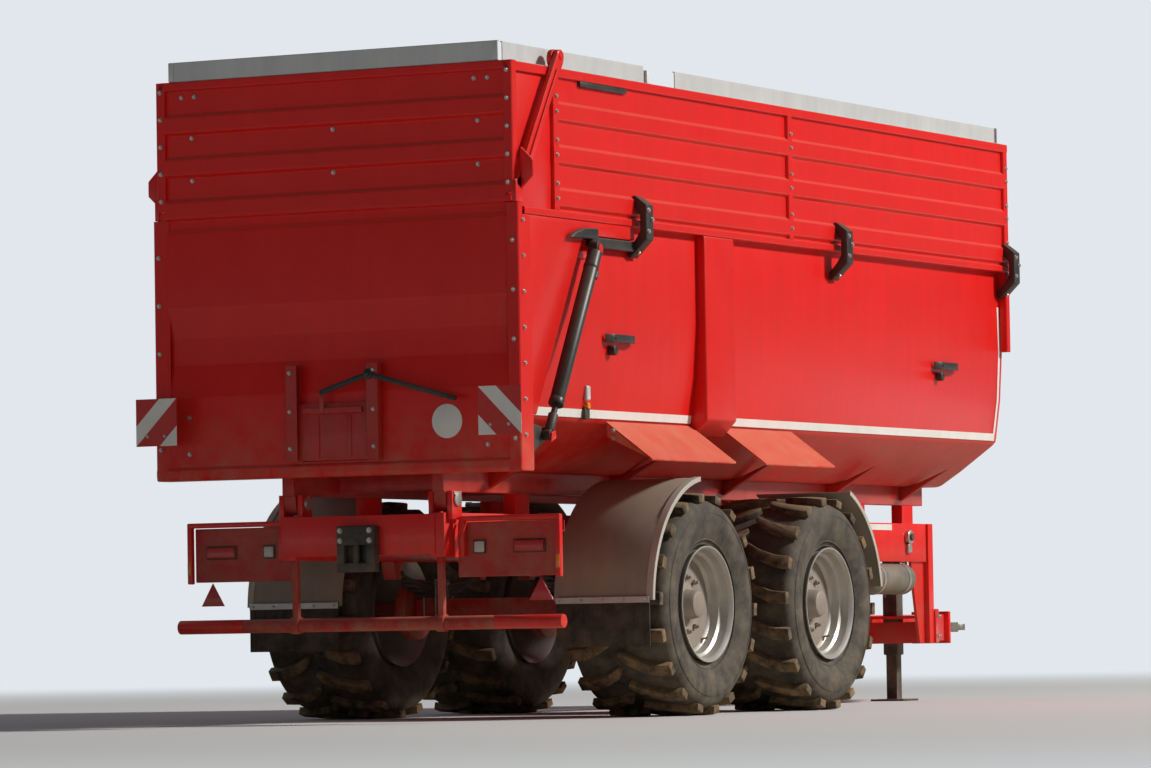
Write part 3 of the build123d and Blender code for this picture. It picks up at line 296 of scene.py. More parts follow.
def across_y(y, line):
    """X, Z points set at one place across the trailer."""
    return [(x, y, z) for x, z in line]


print("helpers ready")

# %% [markdown]
# ## Finishes
# The trailer has been out in a dry field: its red paint is glossy high up and powdered with pale
# dust low down, and the dust also lies on whatever faces the sky. Dust is the one effect every
# finish shares, so it is a node group. It takes a colour and gives back the dusted colour, a mask
# for the roughness and a small height. Each material keeps its own shader, as the export needs.

# %% Node helpers
def feed(tree, socket, value):
    """Links a socket to another one, or sets it to a constant."""
    if isinstance(value, bpy.types.NodeSocket):
        tree.links.new(value, socket)
    else:
        socket.default_value = value


def add(tree, kind, inputs=None, **settings):
    """A node with its settings; inputs go by name or number and are sockets or constants."""
    node = tree.nodes.new(kind)
    for key, value in settings.items():
        setattr(node, key, value)
    for key, value in (inputs or {}).items():
        feed(tree, node.inputs[key], value)
    return node


def maths(tree, operation, first, second, clamp=False):
    return add(tree, "ShaderNodeMath", {0: first, 1: second}, operation=operation, use_clamp=clamp).outputs[0]


def ranged(tree, value, low, high, to_low=0.0, to_high=1.0, **settings):
    """The value's place between low and high, as a number from to_low to to_high."""
    ends = {"Value": value, 1: low, 2: high, 3: to_low, 4: to_high}
    return add(tree, "ShaderNodeMapRange", ends, clamp=True, **settings).outputs[0]


def mixed(tree, share, first, second):
    return add(tree, "ShaderNodeMix", {0: share, 6: first, 7: second}, data_type="RGBA").outputs[2]


def noise(tree, spot, **inputs):
    return add(tree, "ShaderNodeTexNoise", {"Vector": spot, **inputs}).outputs["Fac"]


def object_spot(tree):
    return add(tree, "ShaderNodeTexCoord").outputs["Object"]


def new_group(name, inputs, outputs):
    """A node group; an input is a label with its constant, or with None for a vector."""
    group = bpy.data.node_groups.new(name, "ShaderNodeTree")
    kinds = {tuple: "NodeSocketColor", float: "NodeSocketFloat", type(None): "NodeSocketVector"}
    for label, value in inputs.items():
        socket = group.interface.new_socket(name=label, in_out="INPUT", socket_type=kinds[type(value)])
        if value is not None:
            socket.default_value = value
    for label in outputs:
        kind = "NodeSocketColor" if label == "Color" else "NodeSocketFloat"
        group.interface.new_socket(name=label, in_out="OUTPUT", socket_type=kind)
    return group, group.nodes.new("NodeGroupInput").outputs, group.nodes.new("NodeGroupOutput").inputs


# %% The shared dust and mottle groups
def build_dust():
    """Dust that lies low, in patches, and on whatever faces up."""
    group, get, give = new_group("field_dust", {"Color": (0.5, 0.5, 0.5, 1), "Dust": (0.42, 0.34, 0.24, 1),
                                                "Vector": None, "Low": 0.4, "High": 2.0, "Amount": 0.6,
                                                "Everywhere": 0.06, "Scale": 6.0},
                                 ("Color", "Mask", "Height"))
    place = add(group, "ShaderNodeSeparateXYZ", {0: get["Vector"]})
    fall = ranged(group, place.outputs["Z"], get["High"], get["Low"])
    cloud = noise(group, get["Vector"], Scale=get["Scale"], Detail=6.0, Roughness=0.62)
    fine = noise(group, get["Vector"], Scale=85.0, Detail=3.0)
    normal = add(group, "ShaderNodeNewGeometry").outputs["Normal"]
    facing = add(group, "ShaderNodeSeparateXYZ", {0: normal})
    upward = ranged(group, facing.outputs["Z"], 0.25, 1.0, 0.0, 0.75)
    patchy = ranged(group, cloud, 0.35, 0.68)
    lifted = maths(group, "MAXIMUM", maths(group, "MULTIPLY", fall, patchy), upward)
    scaled = maths(group, "MULTIPLY", lifted, get["Amount"])
    base = maths(group, "MULTIPLY", patchy, get["Everywhere"])
    total = maths(group, "ADD", scaled, base, clamp=True)
    mask = maths(group, "MULTIPLY", total, ranged(group, fine, 0.3, 0.7, 0.72, 1.0))
    feed(group, give["Color"], mixed(group, mask, get["Color"], get["Dust"]))
    feed(group, give["Mask"], mask)
    feed(group, give["Height"], maths(group, "MULTIPLY", mask, fine))
    return group


def build_mottle():
    """Slow and fine colour change that any painted or moulded surface has."""
    group, get, give = new_group("mottle", {"Color": (0.5, 0.5, 0.5, 1), "Vector": None, "Scale": 2.5,
                                            "Depth": 0.12}, ("Color", "Height"))
    slow = noise(group, get["Vector"], Scale=get["Scale"], Detail=5.0)
    stretched = add(group, "ShaderNodeMapping", {0: get["Vector"], 3: (9.0, 9.0, 0.7)})
    streak = noise(group, stretched.outputs[0], Scale=1.3, Detail=4.0)
    level = ranged(group, maths(group, "MULTIPLY", slow, streak), 0.1, 0.42, -1.0, 1.0)
    value = maths(group, "ADD", maths(group, "MULTIPLY", level, get["Depth"]), 1.0)
    tint = add(group, "ShaderNodeHueSaturation", {"Value": value, "Color": get["Color"]})
    feed(group, give["Color"], tint.outputs[0])
    feed(group, give["Height"], slow)
    return group


DUST = build_dust()
MOTTLE = build_mottle()
print("groups:", DUST.name, MOTTLE.name)

# %% [markdown]
# ## One recipe for painted and moulded surfaces
# Each finish is a plain colour that first varies a little, then gathers dust, with the dust making
# it rough. A recipe function builds that chain, so every finish is told apart by its own colour,
# gloss, coat and dust. A single flat colour would look like plastic under the studio lamps.

# %% The recipe
def finish(name, color, rough=0.4, metallic=0.0, coat=0.0, dust=0.5, low=0.3, high=1.9, everywhere=0.05,
           depth=0.1, grain=0.0, grain_scale=60.0, dust_color=(0.40, 0.31, 0.21, 1), dust_scale=6.0,
           specular=0.5):
    """A dusted material from a colour of three numbers."""
    material = bpy.data.materials.new(name)
    material.use_nodes = True
    tree = material.node_tree
    spot = object_spot(tree)
    varied = add(tree, "ShaderNodeGroup", node_tree=MOTTLE)
    for label, value in {"Vector": spot, "Color": (*color, 1), "Depth": depth}.items():
        feed(tree, varied.inputs[label], value)
    dusted = add(tree, "ShaderNodeGroup", node_tree=DUST)
    for label, value in {"Vector": spot, "Color": varied.outputs["Color"], "Low": low, "High": high,
                         "Amount": dust, "Everywhere": everywhere, "Scale": dust_scale,
                         "Dust": dust_color}.items():
        feed(tree, dusted.inputs[label], value)
    grains = maths(tree, "MULTIPLY", noise(tree, spot, Scale=grain_scale, Detail=4.0), grain)
    height = maths(tree, "ADD", grains, dusted.outputs["Height"])
    bump = add(tree, "ShaderNodeBump", {"Height": height, "Strength": 0.35, "Distance": 0.004})
    shader = tree.nodes["Principled BSDF"]
    for label, value in {"Base Color": dusted.outputs["Color"],
                         "Roughness": ranged(tree, dusted.outputs["Mask"], 0.0, 1.0, rough, 0.92),
                         "Metallic": metallic, "Coat Weight": coat, "Coat Roughness": 0.12,
                         "Specular IOR Level": specular, "Normal": bump.outputs[0]}.items():
        feed(tree, shader.inputs[label], value)
    return material


# %% The finishes
body_red = finish("body_red", (0.72, 0.008, 0.006), rough=0.36, coat=0.08, dust=0.42, low=1.42, high=1.92,
                  everywhere=0.025, depth=0.05, specular=0.35)
dusty_red = finish("dusty_red", (0.68, 0.012, 0.008), rough=0.45, dust=0.7, low=1.2, high=2.4,
                   everywhere=0.2, depth=0.08, dust_color=(0.62, 0.30, 0.17, 1))
inner_red = finish("load_space_red", (0.42, 0.035, 0.02), rough=0.5, dust=0.5, low=1.4, high=3.6,
                   everywhere=0.25, depth=0.2)
chassis_red = finish("chassis_red", (0.50, 0.014, 0.010), rough=0.42, coat=0.1, dust=0.62, low=0.2,
                     high=1.6, everywhere=0.12, depth=0.14)
bright_red = finish("bright_red", (0.80, 0.012, 0.010), rough=0.34, coat=0.2, dust=0.16, low=0.2, high=1.5,
                    everywhere=0.04)
strip_grey = finish("strip_grey", (0.56, 0.57, 0.57), rough=0.45, metallic=0.15, dust=0.15, everywhere=0.05,
                    depth=0.08)
black_steel = finish("black_steel", (0.022, 0.022, 0.023), rough=0.38, dust=0.35, low=0.2, high=2.2,
                     everywhere=0.08)
bare_steel = finish("bare_steel", (0.30, 0.29, 0.28), rough=0.45, metallic=0.9, dust=0.35, low=0.0,
                    high=1.2, everywhere=0.15, depth=0.2)
zinc = finish("zinc_bolts", (0.62, 0.62, 0.60), rough=0.35, metallic=0.85, dust=0.2, everywhere=0.08)
chrome = finish("chrome_rod", (0.75, 0.75, 0.76), rough=0.12, metallic=1.0, dust=0.05, everywhere=0.02,
                depth=0.02)
fender_grey = finish("fender_grey", (0.30, 0.275, 0.24), rough=0.62, dust=0.6, low=0.4, high=1.9,
                     everywhere=0.2, depth=0.12, grain=0.25)
fender_edge = finish("fender_edge", (0.52, 0.50, 0.45), rough=0.5, dust=0.3, low=0.4, high=1.9,
                     everywhere=0.1)
flap_black = finish("flap_black", (0.022, 0.021, 0.020), rough=0.7, dust=0.32, low=0.2, high=1.0,
                    everywhere=0.12, grain=0.4)
tyre_side = finish("tyre_side", (0.040, 0.036, 0.032), rough=0.78, dust=0.6, low=-0.2, high=2.2,
                   everywhere=0.62, depth=0.2, grain=0.6, grain_scale=90,
                   dust_color=(0.17, 0.138, 0.105, 1), dust_scale=7)
tyre_lug = finish("tyre_lug", (0.034, 0.030, 0.026), rough=0.8, dust=0.95, low=-0.6, high=3.4,
                  everywhere=0.55, depth=0.35, grain=0.8, grain_scale=45, dust_color=(0.30, 0.20, 0.11, 1),
                  dust_scale=11)
rim_silver = finish("rim_silver", (0.58, 0.57, 0.55), rough=0.34, metallic=0.55, coat=0.1, dust=0.35,
                    low=0.2, high=1.2, everywhere=0.22, depth=0.1, dust_color=(0.34, 0.29, 0.22, 1))
rim_dust = finish("rim_dust", (0.34, 0.30, 0.27), rough=0.55, metallic=0.2, dust=0.5, low=0.2, high=1.3,
                  everywhere=0.5, depth=0.1, dust_color=(0.27, 0.21, 0.16, 1))
tank_grey = finish("tank_grey", (0.17, 0.165, 0.15), rough=0.45, metallic=0.2, dust=0.4, low=0.3, high=1.5,
                   everywhere=0.3)
white_paint = finish("white_paint", (0.80, 0.79, 0.77), rough=0.4, dust=0.2, low=1.3, high=2.3,
                     everywhere=0.05, depth=0.04)
sign_white = finish("sign_white", (0.82, 0.82, 0.80), rough=0.35, dust=0.12, low=1.2, high=2.4,
                    everywhere=0.05, depth=0.03)
hose_black = finish("hose_black", (0.016, 0.016, 0.017), rough=0.5, dust=0.3, low=0.2, high=1.6,
                    everywhere=0.1)


def lens(name, color):
    """Moulded lamp plastic with fine ribs."""
    material = finish(name, color, rough=0.18, coat=0.6, dust=0.15, low=0.2, high=1.6, everywhere=0.03,
                      depth=0.05)
    tree = material.node_tree
    ribs = add(tree, "ShaderNodeTexWave", {"Vector": object_spot(tree), "Scale": 55.0}, bands_direction="Y")
    bump = add(tree, "ShaderNodeBump", {"Height": ribs.outputs["Fac"], "Strength": 0.4, "Distance": 0.002})
    feed(tree, tree.nodes["Principled BSDF"].inputs["Normal"], bump.outputs[0])
    return material


lamp_red = lens("lamp_red", (0.55, 0.006, 0.006))
lamp_white = lens("lamp_white", (0.62, 0.63, 0.62))
lamp_amber = lens("lamp_amber", (0.85, 0.26, 0.01))
print("finishes:", len(bpy.data.materials))

# %% [markdown]
# ## The red and white boards
# Wide-load boards carry slanting red and white bands. The bands could be cut as many small faces,
# but a few maths nodes on the object's own coordinates give edges that stay sharp at any distance:
# the height plus or minus the side place starts again after each band pitch, white first, then red.

# %% The slanted band finish
BAND_PITCH = 0.285
BAND_WHITE = 0.42


def banded(name, lean, start):
    """White and red bands where the height plus lean times the side place has passed start."""
    material = finish(name, (0.6, 0.6, 0.6), rough=0.32, dust=0.12, low=1.2, high=2.4, everywhere=0.05,
                      depth=0.03)
    tree = material.node_tree
    group = next(n for n in tree.nodes if n.type == "GROUP" and n.node_tree == MOTTLE)
    place = add(tree, "ShaderNodeSeparateXYZ", {0: object_spot(tree)}).outputs
    sloped = maths(tree, "ADD", place["Z"], maths(tree, "MULTIPLY", place["Y"], lean))
    wrapped = maths(tree, "FLOORED_MODULO", maths(tree, "ADD", sloped, -start), BAND_PITCH)
    white = maths(tree, "LESS_THAN", wrapped, BAND_PITCH * BAND_WHITE)
    feed(tree, group.inputs["Color"], mixed(tree, white, (0.58, 0.012, 0.010, 1), (0.82, 0.82, 0.80, 1)))
    return material


print("band pitch", BAND_PITCH)

# %% [markdown]
# ## The half-pipe body
# The real body is one thick sheet, folded over and over so that it nearly makes a half pipe: a flat
# floor, two slanted knees and upright sides that step in slightly. It could be six flat plates, but
# the light would then break at every joint. So its middle line is drawn once, from the right rail
# round to the left one, extruded the length of the body, folded with a radius and thickened. The
# faces that look into the load space get a duller red, worn by the crop.

# %% Body shell
BODY_FRONT_X = 7.38
BODY_REAR_X = 0.18
BODY_HALF_WIDTH = 1.2
EXTENSION_LOW_Z = 3.03
BODY_TOP_Z = 3.88
BODY_WALL = 0.02
HALF_SECTION = [(0.64, 1.51), (0.807, 1.617), (1.07, 1.804), (1.11, 2.098), (1.13, 2.43), (1.13, 3.02)]
FULL_SECTION = [(-y, z) for y, z in HALF_SECTION[::-1]] + HALF_SECTION
length = BODY_FRONT_X - BODY_WALL - BODY_REAR_X
shell = sheet(along_x(BODY_REAR_X, FULL_SECTION), (length, 0, 0), BODY_WALL, 0.03, name="body_shell",
              soft=(0.002, 2))
dress(shell, "bed", "body_paint", body_red, "bed_floor")
shell.data.materials.append(inner_red)
for face in shell.data.polygons:
    middle = face.center
    inward = Vector((0, -middle.y, max(0.0, 3.2 - middle.z)))
    if face.normal.dot(inward) > 0.3 * inward.length:
        face.material_index = 1
print("shell faces:", len(shell.data.polygons))

# %% [markdown]
# ## What stiffens the sides
# A rail runs along the top of each side, a wide box pillar takes the load above the axles, the rear
# corner is boxed in by a plate cut parallel to the tailgate's cylinder, and the front edge is a post.
# These are folded and welded plates, so each is a prism with its edges broken by a small bevel.

# %% Pillars, posts and rails
def side_plate(outline, y, thickness, width=0.004):
    """A plate seen from the side: X, Z points, from y outwards to the right by its thickness."""
    return prism(across_y(y, outline), (0, -thickness, 0), soft=(width, 2))


pillar = prism([(2.565, y, z) for y, z in [(-1.2, 2.984), (-1.2, 1.836), (-1.10, 1.732), (-1.062, 1.79),
                                           (-1.062, 1.804), (-1.102, 2.098), (-1.122, 2.43),
                                           (-1.122, 2.984)]], (0.42, 0, 0), soft=(0.012, 3))
CORNER_LINE = [(0.181, 1.806), (0.308, 1.806), (0.943, 2.902), (1.618, 2.902), (1.618, 2.984), (0.181, 2.984)]
corner_plate = side_plate(CORNER_LINE, -1.135, 0.056, 0.006)
corner_fill = side_plate([(0.181, 1.806), (0.308, 1.806), (0.477, 2.098), (0.181, 2.098)], -1.10, 0.04, 0.002)
front_post = sheet([(BODY_FRONT_X - 0.058, -1.135, 2.43), (BODY_FRONT_X - 0.058, -1.197, 2.43),
                    (BODY_FRONT_X - 0.003, -1.197, 2.43), (BODY_FRONT_X - 0.003, -1.135, 2.43)],
                   (0, 0, 0.553), 0.006, 0.008)
rail_line = [(BODY_REAR_X, -1.125, 2.988), (BODY_REAR_X, -1.197, 2.988), (BODY_REAR_X, -1.197, 3.027),
             (BODY_REAR_X, -1.125, 3.027)]
rail = sheet(rail_line, (BODY_FRONT_X - BODY_REAR_X, 0, 0), 0.006, 0.006)
side_right = join("side_right", [pillar, corner_plate, corner_fill, front_post, rail])
side_left = copy_at(side_right, MIRROR, "side_left")
for piece, node in ((side_right, "bed_side_right"), (side_left, "bed_side_left")):
    dress(piece, "bed", "body_paint", body_red, node)

# %% [markdown]
# ## The front wall
# The front end is closed by a flat wall with three upright channels. Its outline is the body's own
# section, so the same list of points is used again, closed across the top and given a thickness.

# %% Front wall
front_wall = prism(along_x(BODY_FRONT_X - BODY_WALL, FULL_SECTION), (BODY_WALL, 0, 0), soft=(0.003, 2))
channels = []
for y in (-0.56, 0, 0.56):
    channels.append(sheet([(BODY_FRONT_X - 0.003, y - 0.04, 1.562),
                           (BODY_FRONT_X + 0.047, y - 0.036, 1.562),
                           (BODY_FRONT_X + 0.047, y + 0.036, 1.562),
                           (BODY_FRONT_X - 0.003, y + 0.04, 1.562)], (0, 0, 1.42), 0.006, 0.008))
front_wall = join("front_wall", [front_wall] + channels)
dress(front_wall, "bed", "body_paint", body_red, "bed_front_wall")
print("front wall width:", round(front_wall.dimensions.y, 3))

# %% [markdown]
# ## The ribbed extension
# Above the body stands an extension of thin sheet, pressed with three flat-topped ribs that stand
# out. The ribs are the section itself, so the sheet is drawn as a zigzag line and extruded. A rail
# of folded angle closes the top and posts cover the sheet's joints, each with a row of bolts.

# %% Extension sheets
RIB_DEPTH = 0.022
RIB_PITCH = 0.257
RIB_HEIGHT = 0.09
RIB_DROP = 0.216
RIB_SLOPE = 0.018
SKIN = 0.006


def ribbed_line(low, high):
    """Outward and height points of a sheet with three pressed ribs, from its top to its bottom."""
    points = [(0, high)]
    for index in range(3):
        top = high - RIB_DROP - index * RIB_PITCH
        bottom = top - RIB_HEIGHT
        points += [(0, top + RIB_SLOPE), (RIB_DEPTH, top), (RIB_DEPTH, bottom), (0, bottom - RIB_SLOPE)]
    return points + [(0, low)]


FACE_Y = BODY_HALF_WIDTH - RIB_DEPTH
skin_line = [(0.565, -(FACE_Y - SKIN / 2 + out), z) for out, z in ribbed_line(EXTENSION_LOW_Z, BODY_TOP_Z)]
skin = sheet(skin_line, (6.801, 0, 0), SKIN, 0.005)
plain = box((0.08, -FACE_Y, EXTENSION_LOW_Z), (0.58, -FACE_Y + 0.010, BODY_TOP_Z), soft=(0.003, 2))
top_rail = sheet([(0.08, -1.181, 3.827), (0.08, -1.197, 3.827), (0.08, -1.197, 3.877),
                  (0.08, -1.170, 3.877)], (7.30, 0, 0), 0.006, 0.005)
parts = [skin, plain, top_rail]
for x in (0.565, 3.81, 7.31):
    parts.append(sheet([(x, -1.174, EXTENSION_LOW_Z), (x + 0.004, -1.197, EXTENSION_LOW_Z),
                        (x + 0.066, -1.197, EXTENSION_LOW_Z), (x + 0.07, -1.174, EXTENSION_LOW_Z)],
                       (0, 0, 0.82), 0.005, 0.005))
boss = bar((0.597, -1.170, 3.93), (0.597, -1.202, 3.93), 0.058, 40, soft=(0.004, 2))
hinge_pin = bar((0.597, -1.195, 3.94), (0.597, -1.244, 3.94), 0.016, soft=(0.003, 2))
extension_right = join("extension_right", parts + [boss, hinge_pin])
extension_left = copy_at(extension_right, MIRROR, "extension_left")
dress(extension_right, "bed", "body_paint", body_red, "side_extension_right")
dress(extension_left, "bed", "body_paint", body_red, "side_extension_left")
side_ribs = ribbed_line(EXTENSION_LOW_Z, BODY_TOP_Z)
front_line = [(BODY_FRONT_X - RIB_DEPTH + out - SKIN / 2, -1.17, z) for out, z in side_ribs]
front_skin = sheet(front_line, (0, 2.34, 0), SKIN, 0.005)
front_cap = sheet([(BODY_FRONT_X - 0.05, -1.17, 3.877), (BODY_FRONT_X - 0.003, -1.17, 3.877),
                   (BODY_FRONT_X - 0.003, -1.17, 3.83)], (0, 2.34, 0), 0.006, 0.005)
dress(join("extension_front", [front_skin, front_cap]), "bed", "body_paint", body_red, "front_extension")
print("extension pieces:", len(PIECES))

# %% [markdown]
# ## The grey top strips
# A tarpaulin's guide strips stand on the top edge, pale grey plastic-faced sheet. The right side
# shows two lengths with a short bare stretch between them. Each is a thin upright sheet with a
# turned foot, so it is drawn as an L and extruded, which gives the bright line along its foot.

# %% Top strips
STRIP_Y = 1.116
STRIP_LOW, STRIP_HIGH = 3.883, 3.997
strips = []
for start, end in ((0.085, 1.92), (2.35, 7.35)):
    run = sheet([(start, -1.176, STRIP_LOW), (start, -STRIP_Y, STRIP_LOW), (start, -STRIP_Y, STRIP_HIGH),
                 (start, -STRIP_Y + 0.012, STRIP_HIGH)], (end - start, 0, 0), 0.005, 0.004)
    strips += [run, copy_at(run, MIRROR)]
front_strip = sheet([(7.355, -1.13, STRIP_HIGH), (7.367, -1.13, STRIP_HIGH), (7.367, -1.13, STRIP_LOW),
                     (7.350, -1.13, STRIP_LOW)], (0, 2.26, 0), 0.005, 0.004)
dress(join("top_strips_dressed", strips + [front_strip]), "bed", "grey_trim", strip_grey, "top_strips")
gate_strip = sheet([(0.026, -1.130, STRIP_LOW), (0.010, -1.130, STRIP_LOW), (0.010, -1.130, STRIP_HIGH),
                    (0.024, -1.130, STRIP_HIGH)], (0, 2.26, 0), 0.005, 0.004)
plate_edge = (0.002, 2)
gate_plates = [box((0.003, y - 0.018, 3.884), (0.009, y + 0.018, 3.996),
                   soft=plate_edge) for y in (-1.112, 1.112)]
dress(join("gate_strip_dressed", [gate_strip] + gate_plates), "tailgate", "grey_trim", strip_grey,
      "tailgate_strip")
print("strip height:", round(STRIP_HIGH - STRIP_LOW, 3))

# %% [markdown]
# ## The tailgate's folded panel
# Seen from behind, the main panel stands upright, folds in under itself, goes down a hand's width
# and leans back out on a ledge that catches the light. The lower stretch has the grain chute's
# opening. The folds are drawn as one line and extruded across; the opening is cut by a block.

# %% Tailgate panel
GATE_HALF = 1.205
fold_line = [(0.030, 3.045), (0.030, 2.985), (0.016, 2.965), (0.016, 2.509), (0.048, 2.333), (0.048, 2.166),
             (0.020, 1.970), (0.020, 1.500)]
panel = sheet(across_y(-GATE_HALF, fold_line), (0, 2 * GATE_HALF, 0), 0.008, 0.006)
cutter = box((-0.1, -0.235, 1.562), (0.2, 0.235, 1.88))
apply_modifier(panel, "BOOLEAN", object=cutter, operation="DIFFERENCE", solver="EXACT")
discard(cutter)
soften(panel, 0.0015, 1)
inner_frame = []
for low_y, high_y, low_z in ((-1.19, -0.235, 1.562), (0.235, 1.19, 1.562), (-0.235, 0.235, 1.88)):
    inner_frame.append(box((0.056, low_y, low_z), (0.060, high_y, 3.04), soft=(0.001, 1)))
gate_rail = sheet([(0.056, -1.2, 3.049), (0.004, -1.2, 3.049), (0.004, -1.2, 3.088), (0.056, -1.2, 3.092)],
                  (0, 2.4, 0), 0.006, 0.006)
print("folded panel:", len(panel.data.polygons), "faces")

# %% [markdown]
# ## Side posts and sill
# The panel hangs in a frame of box posts and a sill. The posts carry a strip of bolts, and the
# sill's top face slopes outwards, so that crop slides off and the sun draws a bright line on it.
# The posts are C-sections, drawn and extruded upwards; the sill is drawn as its own section. Where a
# post's corner folds touch, the last digit of a place decides how they meet, so the posts are folded
# at the frame's own X and moved back.

# %% Tailgate frame
def corner_post(outline, low_z, height, fold):
    """A post of folded sheet from X, Y points, standing on low_z."""
    post = sheet([(REAR_FACE_X + x, y, low_z) for x, y in outline], (0, 0, height), 0.006, fold)
    post.location.x -= REAR_FACE_X
    return bake_place(post)


POST_OUTER = [(0.010, 1.247), (0.003, 1.240), (0.003, 1.176), (0.024, 1.153)]
posts = []
for side in (-1, 1):
    for depth, low, height in ((0.157, 1.475, 1.495), (0.057, 2.97, 0.072)):
        outline = [(depth, 1.153), (depth, 1.247)] + POST_OUTER
        posts.append(corner_post([(x, side * y) for x, y in outline], low, height, 0.006))
sill_line = [(0.155, 1.556), (0.026, 1.556), (0.004, 1.534), (0.004, 1.490), (0.018, 1.474), (0.155, 1.474)]
sill = sheet(across_y(-1.246, sill_line), (0, 2.492, 0), 0.007, 0.006)
frame_piece = join("tailgate_dressed", [panel, gate_rail, sill] + posts + inner_frame)
dress(frame_piece, "tailgate", "body_paint", body_red, "tailgate_panel")
print("tailgate width:", round(frame_piece.dimensions.y, 3))

# %% [markdown]
# ## The tailgate's ribbed top
# The upper part repeats the ribbed sheet of the sides, set between two edge posts, so the same
# rib line is used, this time extruded across the trailer.

# %% Tailgate extension
gate_skin_line = [(RIB_DEPTH + SKIN / 2 - out, -1.17, z) for out, z in ribbed_line(3.095, BODY_TOP_Z)]
gate_skin = sheet(gate_skin_line, (0, 2.34, 0), SKIN, 0.005)
gate_cap = sheet([(0.040, -1.2, 3.877), (0.003, -1.2, 3.877), (0.003, -1.2, 3.832), (0.016, -1.2, 3.828)],
                 (0, 2.4, 0), 0.006, 0.005)
EDGE_LINE = [(0.057, 1.160), (0.026, 1.160), (0.003, 1.163), (0.003, 1.214), (0.010, 1.219), (0.057, 1.219)]
edges = [corner_post([(x, side * y) for x, y in EDGE_LINE], 3.097, 0.782, 0.005) for side in (-1, 1)]
dress(join("tailgate_top", [gate_skin, gate_cap] + edges), "tailgate", "body_paint", body_red,
      "tailgate_extension")
print("edge posts:", len(edges))

# %% [markdown]
# ## The hinge arms
# The tailgate swings from pins high on the sides, on two flat arms that slope down to its top
# edge. An arm is flame-cut plate with a round eye, so it is a prism with a softened edge, and the
# stiffening rib along its back is a second, narrower prism.

# %% Hinge arms
PIVOT = Vector((0.597, 0, 3.94))
FOOT = Vector((0.055, 0, 3.135))


def arm_plate(y_inner, y_outer, half_width, start, end):
    along = (end - start).normalized()
    across = Vector((-along.z, 0, along.x)) * half_width
    outline = [start + across, end + across, end - across, start - across]
    return prism([(p.x, y_inner, p.z) for p in outline], (0, y_outer - y_inner, 0), soft=(0.003, 2))


arm_flat = arm_plate(-1.208, -1.238, 0.044, PIVOT, FOOT)
arm_rib = arm_plate(-1.2381, -1.250, 0.010, PIVOT.lerp(FOOT, 0.1), PIVOT.lerp(FOOT, 0.97))
arm_eye = turned([(0.017, -0.015, 0), (0.017, 0.015, 0), (0.030, 0.017, 0), (0.045, 0.012, 0),
                  (0.045, -0.012, 0), (0.030, -0.017, 0), (0.017, -0.015, 0)], (PIVOT.x, -1.223, PIVOT.z),
                 (0, 1, 0), 40, soft=(0.001, 1))
arm_leg = prism([(x, -1.208, z) for x, z in [(0.003, 3.045), (0.003, 3.172), (0.06, 3.20), (0.088, 3.18),
                                             (0.088, 3.045)]], (0, -0.030, 0), soft=(0.004, 2))
arm_right = join("hinge_arm_right", [arm_flat, arm_rib, arm_eye, arm_leg])
arm_left = copy_at(arm_right, MIRROR, "hinge_arm_left")
dress(arm_right, "tailgate", "body_paint", body_red, "tailgate_arm_right")
dress(arm_left, "tailgate", "body_paint", body_red, "tailgate_arm_left")
print("arm length:", round((PIVOT - FOOT).length, 3))

# %% [markdown]
# ## Lines, brackets and small fittings on the sides
# A white reflecting line runs low along each side and up the front edge, and stops where the pillar
# stands. It is tape on the real body: a painted mask would blur at its edges, so it is a strip of
# sheet a millimetre thick that lies on the panel's own slope.

# %% White line
LINE_LOW, LINE_HIGH = 1.812, 1.862
TAPE = 0.0015
LINE_OUT = (1.0822, 1.0890)
pieces = []
for start, end in ((0.36, 2.562), (2.988, 7.318)):
    tape_line = [(start, -LINE_OUT[0], LINE_LOW), (start, -LINE_OUT[1], LINE_HIGH)]
    pieces.append(sheet(tape_line, (end - start, 0, 0), TAPE))
front_points = [(7.292, 1.0890, 1.862), (7.296, 1.1212, 2.098), (7.292, 1.1412, 2.43), (7.278, 1.1412, 2.74)]
pieces.append(sheet([(x, -y, z) for x, y, z in front_points], (0.030, 0, 0), TAPE))
dress_pair("white_lines", pieces, "bed", "body_paint", white_paint)
print("white line pieces a side:", len(front_points) - 1)

# %% [markdown]
# ## Bowed bracket plates
# Three black brackets a side hold the high extension. Each stands off the rail like a flat bow, from
# the extension's foot out and down to the panel, and is held by four bright bolts. It could be a bent
# strip, but the photo shows it thick at both feet, so the bow's whole outline is drawn and extruded.

# %% Brackets
BRACKET_EDGE = [(1.186, 3.176), (1.205, 3.176), (1.280, 3.118), (1.280, 2.908), (1.165, 2.797),
                (1.150, 2.803), (1.150, 2.850), (1.205, 2.912), (1.236, 2.960), (1.236, 3.060),
                (1.205, 3.096), (1.186, 3.112)]
BRACKETS = (1.655, 4.56, 7.33)
BRACKET_WIDTH = 0.096
plates = []
for x in BRACKETS:
    plates.append(prism([(x - BRACKET_WIDTH / 2, -y, z) for y, z in BRACKET_EDGE], (BRACKET_WIDTH, 0, 0),
                        soft=(0.003, 2)))
dress_pair("brackets", plates, "bed", "black_steel", black_steel, "extension_brackets")
bolt = bolt_head((0, -1, 0), 0.013)
places = []
for x in BRACKETS:
    for along, y, z in ((-0.025, 1.281, 3.085), (0.025, 1.281, 3.03), (-0.025, 1.281, 2.955)):
        places.append((x + along, -y, z))
bolts = repeat("bracket_bolts", bolt, places)
low_bolt = bolt_head((0, -0.7, -0.7), 0.013)
low_bolts = repeat("low_bolts", low_bolt, [(x, -1.196, 2.832) for x in BRACKETS])
dress_pair("bracket_bolts", [bolts, low_bolts], "bed", "bare_steel", zinc)
print("bracket bolts:", len(places) + len(BRACKETS))

